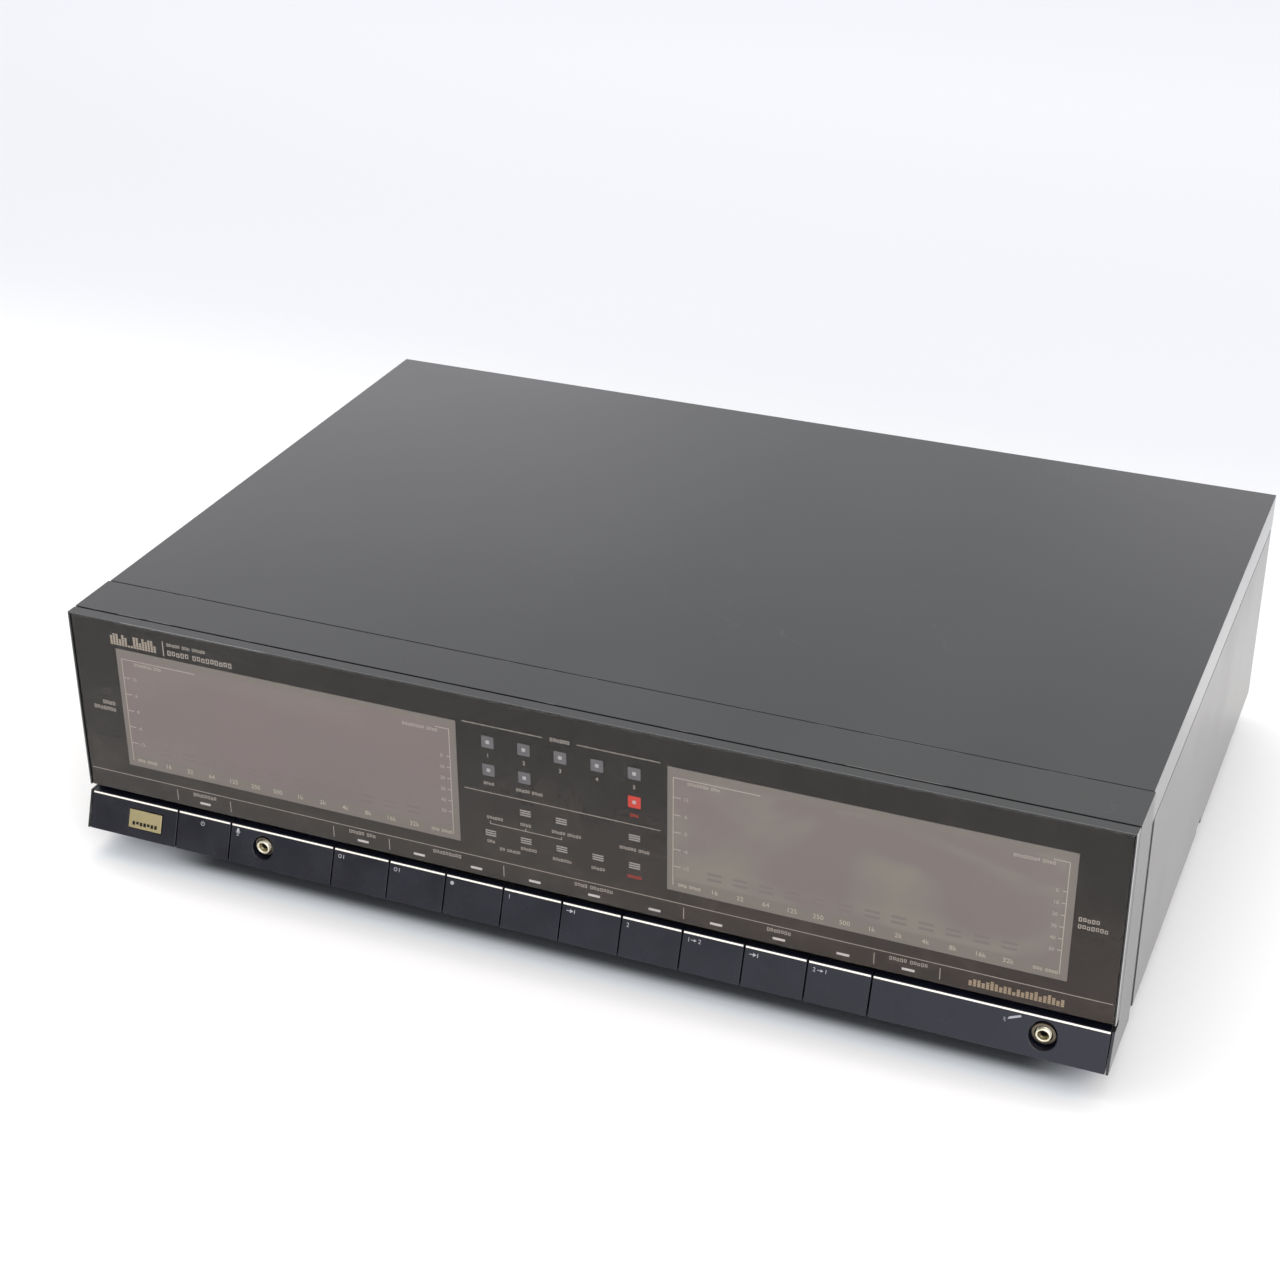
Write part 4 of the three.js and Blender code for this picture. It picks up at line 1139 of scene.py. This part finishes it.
def make_badge_block():
    """The fixed left block with its badge plate and a row of neutral blocks on it."""
    x0, x1 = (corner.x for corner in unit_box("badge_plate"))
    centre, half, gap = 8.2, 3.9, 0.3
    make_fixed_block("badge_block", slab_on_face(x0 - gap, x1 + gap, centre - half - gap,
                                                 centre + half + gap, 0.6, 1))
    plate = slab_on_face(x0, x1, centre - half, centre + half, 0.3, 0.28)
    plate.place("badge", GOLD, slot="badge_gold", replaces=["badge_plate"], bevel=0.2)
    blocks = Shape()
    count, pitch = 7, 1.75
    for i in range(count):
        x = (x0 + x1) / 2 + (i - count / 2) * pitch
        foot = centre - 2.6 + 0.4 * (i % 3 == 1)
        blocks.add(slab_on_face(x + 0.2, x + 1.45, foot, centre - 1.0, 0.05, 0.31))
    blocks.place("badge_blocks", MASK_INK, slot="badge_gold")


def make_jack(name, recess, nut_radius):
    """A fixed block with its jack: round recess, knurled nut, grooved bush and body."""
    jack_low, jack_high = unit_box(name + "_jack")
    x = middle(name + "_jack")[0]
    hole = 3.4
    make_fixed_block(name + "_panel", rod_y(recess, x, JACK_Z, -KEY_LEAN - 1, 0.3),
                     rod_y(hole, x, JACK_Z, -1, BLOCK_REAR + 1))

    front, rear = jack_low.y - 0.8, 9.0
    mouth, bore, bush, depth = 1.25, 1.8, 3.0, 19
    # The throat is darker brass as painted shade deep in the mouth of the bore.
    throat = [(mouth, front + 1.5), (bore, front + 0.75), (bore, front + 2), (mouth, front + 2)]
    turned(throat, "Y", x, 0, JACK_Z, 64).place(name + "_jack_shaded_throat", SHADED_BRASS, slot="jack_metal")
    profile = [(bore + 0.1, front + 0.8), (bush - 0.85, front + 0.1), (bush - 0.75, front),
               (bush - 0.25, front), (bush, front + 0.25)]
    for i in range(3):
        y = front + 0.45 + 0.4 * i
        profile += [(bush, y), (bush - 0.22, y + 0.13), (bush, y + 0.26)]
    profile += [(bush, rear), (bore + 0.1, rear)]
    turned(profile, "Y", x, 0, JACK_Z, 64).place(
        name + "_jack_bush", BRASS, slot="jack_metal", replaces=[name + "_jack"], crease=50)
    # A black lining in the bore, put there to darken it as painted shade of the deep hole.
    sleeve = [(1.5, front + 2.2), (bore, front + 2.2), (bore, depth), (1.5, depth)]
    turned(sleeve, "Y", x, 0, JACK_Z, 48).place(name + "_jack_shade_lining", BLACK, slot="black_plastic")
    housing = carved(block(jack_low.x, jack_high.x, 8.3, jack_high.y, jack_low.z, jack_high.z),
                     rod_y(bush, x, JACK_Z, 8, rear), rod_y(bore, x, JACK_Z, rear - 1, depth))
    housing.place(name + "_jack_housing", BLACK, slot="black_plastic", bevel=0.3)

    teeth, tooth = 36, 0.25
    outline = []
    for i in range(teeth * 2):
        radius = nut_radius - (0 if i % 2 else tooth)
        angle = math.pi * i / teeth
        outline.append((x + radius * math.cos(angle), JACK_Z + radius * math.sin(angle)))
    nut = carved(bar(outline, "Y", -1.3, 0), rod_y(hole, x, JACK_Z, -2, 1))
    nut.place(name + "_nut", JACK_NUT, slot="jack_metal", replaces=[name + "_jack_nut"], bevel=0.1,
              segments=2)


def make_jack_legends():
    """A microphone and a light pen with its rays."""
    s = LEGEND_S
    x = unit_box("mic_panel")[0].x + 2.6
    capsule = mark(rounded(x, x + 1.1, s + 0.4, s + 2.2, 0.5))
    stand = ring_mark(x + 0.55, s + 1.0, 1.05, 0.2, 180, 360)
    stem = box_mark(x + 0.45, x + 0.65, s - 0.7, s).add(box_mark(x, x + 1.1, s - 0.85, s - 0.65))
    capsule.add(stand, stem).place("mic_legend", KEY_INK, slot="lamp_plastic")
    x = 176.5
    pen = mark([(x, s - 0.3), (x + 0.5, s + 0.7), (x + 4.6, s + 2.2), (x + 4.9, s + 1.5),
                (x + 0.9, s - 0.1)])
    near, far, half = 0.4, 1.2, 0.09
    for angle in (150, 195, 240):
        c, d = math.cos(math.radians(angle)), math.sin(math.radians(angle))
        pen.add(mark([(x - 0.4 + a * c - b * d, s - 0.5 + a * d + b * c)
                      for a, b in ((near, half), (far, half), (far, -half), (near, -half))]))
    pen.place("pen_legend", KEY_INK, slot="lamp_plastic")


# ---------------------------------------------------------------- bodywork

def dress(node, look, bevel=0.25, segments=2):
    """Keeps a CAD node, gives it a finish and rounds its edges a little."""
    piece = NODES[node]
    piece.data.materials.clear()
    piece.data.materials.append(look)
    weld = piece.modifiers.new("weld", "WELD")
    weld.merge_threshold = 0.002 * MM
    flat_faces = piece.modifiers.new("one face each", "DECIMATE")
    flat_faces.decimate_type = "DISSOLVE"
    flat_faces.angle_limit = math.radians(1)
    if bevel:
        round_edges(piece, bevel, segments)


def make_bodywork():
    """The CAD bodywork with its finishes. The front ends of the side panels are tucked in
    behind the bezel, which leaves a seam."""
    dress("front_bezel", BEZEL_PAINT, 0.35, 3)
    dress("face_frame", FRAME_PAINT, 0.22, 3)
    dress("top_cover", COVER_PAINT, 0.45, 3)
    for side, name in ((-1, "left"), (1, "right")):
        node = "side_panel_" + name
        low, high = unit_box(node)
        surface = high.x if side > 0 else low.x
        depth, length = 0.4, 8
        tuck = sorted((surface - side * depth, surface + side))
        panel = carved(from_cad(node),
                       block(*tuck, low.y - 1, low.y + length, low.z - 1, high.z + 1))
        panel.place(node + "_sheet", SIDE_PAINT, slot="case_paint", replaces=[node], bevel=0.2,
                    segments=2, flatten=True)
    dress("bottom_plate", ZINC, 0.2)
    dress("front_bracket", ZINC, 0.1)


REAR_JACKS = ("line_jacks", "tape_1_jacks", "tape_2_jacks")
COVER_SCREWS = ("cover_screw_1", "cover_screw_2", "cover_screw_3")
JACK_SPREAD = 7
JACK_RADIUS = 4.15
SHELL_WALL = 0.7
PIN_RADIUS = 1.6


def jack_centres(node):
    x, _, z = middle(node)
    return [(x + a * JACK_SPREAD, z + b * JACK_SPREAD) for b in (1, -1) for a in (-1, 1)]


def facing_back(shape):
    return shape.turned(Matrix.Rotation(math.pi, 4, "Z"))


def make_rear_panel():
    """Rear panel with its jack, gland and screw holes, vent slots and printed marks."""
    low, high = unit_box("rear_panel")
    shoulder, tongue = unit_box("side_panel_left")[1].z - 12.3, low.x + 1.5
    outline = [(low.x, low.z), (high.x, low.z), (high.x, shoulder), (-tongue, shoulder),
               (-tongue, high.z), (tongue, high.z), (tongue, shoulder), (low.x, shoulder)]
    cuts = Shape()
    before, after = low.y - 1, high.y + 1
    for node in REAR_JACKS:
        for x, z in jack_centres(node):
            cuts.add(rod_y(JACK_RADIUS + 0.35, x, z, before, after, 48))
    x, _, z = middle("cord_gland")
    cuts.add(rod_y(6.6, x, z, before, after, 48))
    for node in COVER_SCREWS:
        x, _, z = middle(node)
        cuts.add(rod_y(1.7, x, z, before, after, 24))
    vents, first, pitch, half = 12, -138.5, 7, 1.5
    for i in range(vents):
        x = first + pitch * i
        cuts.add(flat(rounded(x - half, x + half, 56, 76, 1.45, 6), before, after))
    panel = carved(bar(outline, "Y", low.y, high.y), cuts)
    panel.place("rear_panel_sheet", REAR_PAINT, slot="case_paint", replaces=["rear_panel"],
                bevel=0.15, segments=2)

    marks = Shape()
    line, proud = 0.35, 0.03
    back = high.y - 0.1
    for i, node in enumerate(REAR_JACKS):
        box_low, box_high = unit_box(node)
        left, right, foot, top = box_low.x - 2, box_high.x + 2, box_low.z - 2, box_high.z + 2
        for x0, x1, z0, z1 in ((left, right, foot, foot + line), (left, right, top - line, top),
                               (left, left + line, foot, top), (right - line, right, foot, top)):
            marks.add(block(x0, x1, back, high.y + proud, z0, z1))
        number = facing_back(lettering(str(i + 1), 3.2, 0, 0, thickness=2 * (0.1 + proud)))
        marks.add(number.moved((left + right) / 2, high.y - 0.1, top + 2))
    marks.place("rear_marks", REAR_INK, slot="lamp_plastic")


def make_rear_jacks():
    """Blocks of phono jacks: plated shells round white and red insulators."""
    wall = unit_box("rear_panel")[0].y - 0.3
    for node in REAR_JACKS:
        low, high = unit_box(node)
        end = high.y
        body = block(low.x, high.x, low.y, wall, low.z, high.z)
        body.place(node + "_body", BLACK, slot="black_plastic", replaces=[node], bevel=0.6)
        shells, white, red = Shape(), Shape(), Shape()
        bore = JACK_RADIUS - SHELL_WALL
        for i, (x, z) in enumerate(jack_centres(node)):
            shell = [(bore, wall - 0.5), (JACK_RADIUS, wall - 0.5), (JACK_RADIUS, end - 0.25),
                     (JACK_RADIUS - 0.25, end), (bore + 0.15, end), (bore, end - 0.15)]
            shells.add(turned(shell, "Y", x, 0, z, 48))
            insert = [(PIN_RADIUS, wall - 0.5), (bore, wall - 0.5), (bore, end - 0.9),
                      (bore - 0.5, end - 0.5), (PIN_RADIUS + 0.4, end - 0.5),
                      (PIN_RADIUS, end - 0.9)]
            (white if i < 2 else red).add(turned(insert, "Y", x, 0, z, 40))
        shells.place(node + "_shells", NICKEL, slot="jack_metal", crease=50)
        white.place(node + "_white", WHITE_PLASTIC, slot="black_plastic", crease=40)
        red.place(node + "_red", RED_PLASTIC, slot="black_plastic", crease=40)


def make_cord_gland():
    """Flanged gland for the mains cord, with three ribs."""
    low, high = unit_box("cord_gland")
    x, _, z = middle("cord_gland")
    wall, end = unit_box("rear_panel")[1].y + 0.3, high.y
    profile = [(3.6, low.y), (7.4, low.y), (7.4, low.y + 4), (6.4, low.y + 4), (6.4, wall),
               (8.6, wall), (8.6, wall + 1.2), (8.2, wall + 1.6), (7.2, wall + 1.7)]
    for i in range(3):
        y = wall + 2.0 + 0.6 * i
        radius = 7.0 - 0.3 * i
        profile += [(radius, y), (radius - 0.45, y + 0.1), (radius - 0.45, y + 0.35)]
    profile += [(5.8, end), (4.0, end), (3.6, end - 0.4)]
    turned(profile, "Y", x, 0, z, 64).place("gland", BLACK, slot="black_plastic",
                                            replaces=["cord_gland"], crease=40)


def make_cover_screws():
    """Pan-head screws with a cross slot and a threaded shank."""
    for node in COVER_SCREWS:
        low, high = unit_box(node)
        x, _, z = middle(node)
        seat, end = high.y - 1.8, high.y
        profile = [(0, low.y), (0.9, low.y)]
        for step in range(9):
            y = low.y + 0.5 + 0.8 * step
            profile += [(1.4, y), (1.4, y + 0.15), (1.1, y + 0.5)]
        profile += [(1.4, seat), (3.2, seat), (3.4, seat + 0.2), (3.4, seat + 0.7),
                    (3.0, end - 0.45), (2.1, end - 0.1), (0, end)]
        slots = [block(x - a, x + a, end - 0.9, end + 1, z - b, z + b)
                 for a, b in ((2.1, 0.42), (0.42, 2.1))]
        head = carved(turned(profile, "Y", x, 0, z, 40), *slots)
        head.place(node + "_part", SCREW, slot="screw_steel", replaces=[node], crease=40)


def make_feet():
    """Moulded feet with two grooves, and the screw deep in each."""
    screws = Shape()
    for end in ("front", "rear"):
        for side in ("left", "right"):
            node = "foot_%s_%s" % (end, side)
            x, y, _ = middle(node)
            profile = [(0, 0), (18.3, 0), (18.5, -0.2), (18.5, -1.2), (17.95, -4.2), (17.3, -4.5),
                       (17.2, -5.2), (17.75, -5.5), (17.45, -7.4), (16.8, -7.7), (16.7, -8.4),
                       (17.25, -8.7), (17.0, -10.5), (16.5, -11.5), (15.5, -12), (6.2, -12),
                       (5.8, -11.6), (5.8, -7), (0, -7)]
            turned(profile, "Z", x, y, 0, 64).place(node + "_pad", RUBBER, slot="rubber",
                                                    replaces=[node], crease=38)
            head = turned([(0, -7), (3.9, -7), (3.9, -8), (3.2, -9), (0, -9.4)], "Z", x, y, 0, 32)
            slots = [block(x - a, x + a, y - b, y + b, -10, -8.6)
                     for a, b in ((2.6, 0.5), (0.5, 2.6))]
            screws.add(carved(head, *slots))
    screws.place("foot_screws", ZINC, slot="screw_steel", crease=40)


# ---------------------------------------------------------------- electronics

SMALL_CHIP = (20, 8, 4.5)


def package(x, y, width, depth, height, top):
    """Body and pins of one integrated circuit that lies along X on a board."""
    shoulder = top + height * 0.5
    body = block(x, x + width, y + 0.9, y + depth - 0.9, top + 0.6, top + height)
    pins = Shape()
    pitch, half = 2.54, 0.3
    count = int(width / pitch)
    start = x + (width - (count - 1) * pitch) / 2
    for i in range(count):
        px = start + pitch * i
        for near, far in ((y, y + 1.2), (y + depth, y + depth - 1.2)):
            low, high = sorted((near, far))
            pins.add(block(px - half, px + half, low, high, shoulder - 0.15, shoulder + 0.15))
            low, high = sorted((near, near + (half if far > near else -half)))
            pins.add(block(px - half, px + half, low, high, top, shoulder))
    return body, pins


def small_can(x, y, radius, height, base):
    """Small electrolytic capacitor with a crimped foot."""
    profile = [(0, base), (radius * 0.94, base), (radius, base + 0.5), (radius, base + 1.0),
               (radius * 0.9, base + 1.4), (radius, base + 1.9), (radius, base + height - 0.4),
               (radius - 0.4, base + height), (radius * 0.75, base + height),
               (radius * 0.7, base + height - 0.3), (0, base + height - 0.3)]
    return turned(profile, "Z", x, y, 0, 24)


def resistor(x, y, base):
    """Axial resistor along Y with swollen ends, on bent leads."""
    profile = [(0, y - 3.2), (0.7, y - 3.2), (1.1, y - 2.8), (1.1, y - 2.0), (0.85, y - 1.6),
               (0.85, y + 1.6), (1.1, y + 2.0), (1.1, y + 2.8), (0.7, y + 3.2), (0, y + 3.2)]
    body = turned(profile, "Y", x, 0, base + 1.3, 12)
    leads = Shape()
    for side in (-1, 1):
        end = y + side * 5
        leads.add(block(x - 0.3, x + 0.3, min(y + side * 3, end), max(y + side * 3, end),
                        base + 1.0, base + 1.6))
        leads.add(block(x - 0.3, x + 0.3, end - 0.3, end + 0.3, base, base + 1.6))
    return body, leads


def make_board(node, chips, holes):
    """One board, its screw holes (x, y) and its chips (x, y, width, depth, height)."""
    low, high = unit_box(node)
    top = low.z + 1.6
    cuts = Shape()
    for x, y in holes:
        cuts.add(turned([(0, low.z - 1), (1.6, low.z - 1), (1.6, top + 1), (0, top + 1)], "Z", x, y,
                        0, 20))
    slab = carved(block(low.x, high.x, low.y, high.y, low.z, top), cuts)
    slab.place(node + "_sheet", PCB, slot="circuit_board", replaces=[node], bevel=0.1, segments=2)
    bodies, pins = Shape(), Shape()
    for chip in chips:
        body, legs = package(*chip, top)
        bodies.add(body)
        pins.add(legs)
    if chips:
        bodies.place(node + "_chips", CHIP, slot="black_plastic", bevel=0.3, segments=2)
        pins.place(node + "_pins", NICKEL, slot="zinc_steel")
    return top


def corners_of(x0, x1, y0, y1):
    return [(x, y) for x in (x0, x1) for y in (y0, y1)]


def make_main_board():
    """The large board: rows of amplifiers, capacitors and resistors, one for each band."""
    row_pitch = 40
    chips = [(-70 + column * 44, 95 + row * row_pitch, *SMALL_CHIP) for row in range(3)
             for column in range(6)]
    chips += [(x, 225, 30, 12, 11) for x in (-60, 0)]
    top = make_board("main_board", chips, corners_of(-91, 201, 74, 271))
    chance = random.Random(7)
    cans, bodies, leads = Shape(), Shape(), Shape()
    for row in range(3):
        for column in range(15):
            x = -84 + column * 19 + chance.uniform(-1.5, 1.5)
            cans.add(small_can(x, 120 + row * row_pitch, chance.choice((2.5, 3.1, 4.0)),
                               chance.uniform(7, 11), top))
            for step in range(3):
                body, legs = resistor(x + 5 + 3.4 * step, 112 + row * row_pitch, top)
                bodies.add(body)
                leads.add(legs)
    cans.place("main_board_cans", SLEEVE, slot="black_plastic", crease=40)
    bodies.place("main_board_resistors", RESISTOR, slot="black_plastic", crease=50)
    leads.place("main_board_leads", NICKEL, slot="zinc_steel")


def make_control_board():
    """The digital board, with its large chips, a crystal and a row of capacitors."""
    chips = [(x, 70, width, 15, 5) for x, width in ((-30, 52), (40, 52), (110, 36))]
    chips += [(x, 100, *SMALL_CHIP) for x in (-30, 10, 50)]
    top = make_board("control_board", chips, corners_of(-56, 176, 54, 126))
    can = bar(rounded(110, 122, 104, 109, 2.4, 8), "Z", top, top + 9)
    can.place("control_board_crystal", NICKEL, slot="zinc_steel", bevel=0.5)
    cans = Shape()
    for i in range(6):
        cans.add(small_can(-50 + 3 * (i % 2), 62 + 10 * i, 2.5, 7, top))
    cans.place("control_board_cans", SLEEVE, slot="black_plastic", crease=40)


def make_power_supply():
    """Rectifier and regulator board with its filter capacitors and heatsink."""
    low = unit_box("power_board")[0]
    top = make_board("power_board", [], corners_of(-201, -109, 64, 176))
    relay = block(-165, -149, 70, 84, top, top + 15)
    relay.add(block(-160, -150, 150, 160, top, top + 12))
    relay.place("power_board_boxes", FILM_BOX, slot="black_plastic", bevel=0.5)
    fuse = turned([(0, -135), (2.6, -135), (2.6, -129), (2.2, -128.8), (2.2, -123.2), (2.6, -123),
                   (2.6, -117), (0, -117)], "Z", 0, 0, 0, 24)
    fuse = fuse.turned(Matrix.Rotation(math.pi / 2, 4, "Y")).moved(0, 145, top + 4.5)
    for x in (-134, -119):
        fuse.add(block(x, x + 1.6, 142, 148, top, top + 3))
    fuse.place("power_board_fuse", NICKEL, slot="zinc_steel", crease=40)
    for node in ("filter_capacitor_1", "filter_capacitor_2"):
        start, end = unit_box(node)
        x, y, _ = middle(node)
        radius, z0, z1 = (end.x - start.x) / 2, start.z, end.z
        sleeve = [(0, z0), (radius - 0.3, z0), (radius - 0.1, z0 + 0.4), (radius - 0.1, z0 + 1.8),
                  (radius - 0.7, z0 + 2.4), (radius - 0.7, z0 + 2.9), (radius, z0 + 3.6),
                  (radius, z1 - 0.9), (radius - 0.5, z1 - 0.2), (radius - 1.6, z1),
                  (radius - 1.9, z1 - 0.5), (0, z1 - 0.5)]
        turned(sleeve, "Z", x, y, 0, 64).place(node + "_sleeve", SLEEVE, slot="black_plastic",
                                               replaces=[node], crease=40)
        lid = turned([(0, z1 - 0.6), (radius - 2, z1 - 0.6), (radius - 2, z1 - 0.3), (0, z1 - 0.3)],
                     "Z", x, y, 0, 48)
        scores = [block(x - a, x + a, y - b, y + b, z1 - 0.45, z1) for a, b in ((6, 0.3), (0.3, 6))]
        carved(lid, *scores).place(node + "_lid", ALUMINIUM, slot="zinc_steel", crease=40)
    tab = block(-137, -127, 98.6, 99.9, low.z + 6, low.z + 22)
    case = block(-137, -127, 95.6, 98.6, low.z + 6, low.z + 15)
    tab.place("regulator_tab", NICKEL, slot="zinc_steel", bevel=0.2)
    case.place("regulator_case", CHIP, slot="black_plastic", bevel=0.4)
    dress("heatsink", ALUMINIUM, 0.25)


def make_transformer():
    """The transformer's core and winding, and the flanges and bolts round them."""
    dress("transformer_core", CORE, 0.5, 3)
    dress("transformer_winding", WINDING, 1.5, 4)
    core_low, core_high = unit_box("transformer_core")
    wind_low, wind_high = unit_box("transformer_winding")
    x = middle("transformer_core")[0]
    half = (wind_high.x - wind_low.x) / 2 + 0.4
    flanges = Shape()
    for y in (core_low.y - 1.3, core_high.y + 0.3):
        flanges.add(block(x - half, x + half, y, y + 1, wind_low.z - 0.4, wind_high.z + 0.4))
    flanges.place("transformer_bobbin", WHITE_PLASTIC, slot="black_plastic", bevel=0.3)
    bolts = Shape()
    for side in (-1, 1):
        for z in (core_low.z + 5, core_high.z - 5):
            for y in (core_low.y - 2.2, core_high.y):
                bolts.add(bar(arc(x + side * 27.5, z, 3.2, 0, 300, 5), "Y", y, y + 2.2))
    bolts.place("transformer_bolts", ZINC, slot="zinc_steel", bevel=0.3)


def make_internals():
    """Everything inside the casing."""
    make_main_board()
    make_control_board()
    make_power_supply()
    make_transformer()
    for node in ("display_board", "key_board"):
        dress(node, PCB, 0.1)
    for node in ("display_left", "display_right"):
        dress(node, TUBE, 0.5, 3)
    for i in range(4):
        dress("board_spacer_%d" % (i + 1), ZINC, 0.2)
    dress("power_switch", BLACK, 0.3)
    dress("ribbon_cable", CABLE, 0.08)


# ---------------------------------------------------------------- the whole unit

add_camera()
add_world()
add_floor()
add_lights()

make_face_sheet()
make_face_rules()
make_face_legends()
make_targets()
make_lamps()
make_display_film("left", *WINDOWS[0])
make_display_film("right", *WINDOWS[1])

for key in KEYS:
    make_key(key)
make_badge_block()
make_jack("mic", 4.7, 4.1)
make_jack("pen", 5.3, 4.6)
make_jack_legends()

make_bodywork()
make_rear_panel()
make_rear_jacks()
make_cord_gland()
make_cover_screws()
make_feet()
make_internals()

bpy.context.scene.view_settings.view_transform = "Standard"
bpy.context.scene.view_settings.look = "None"
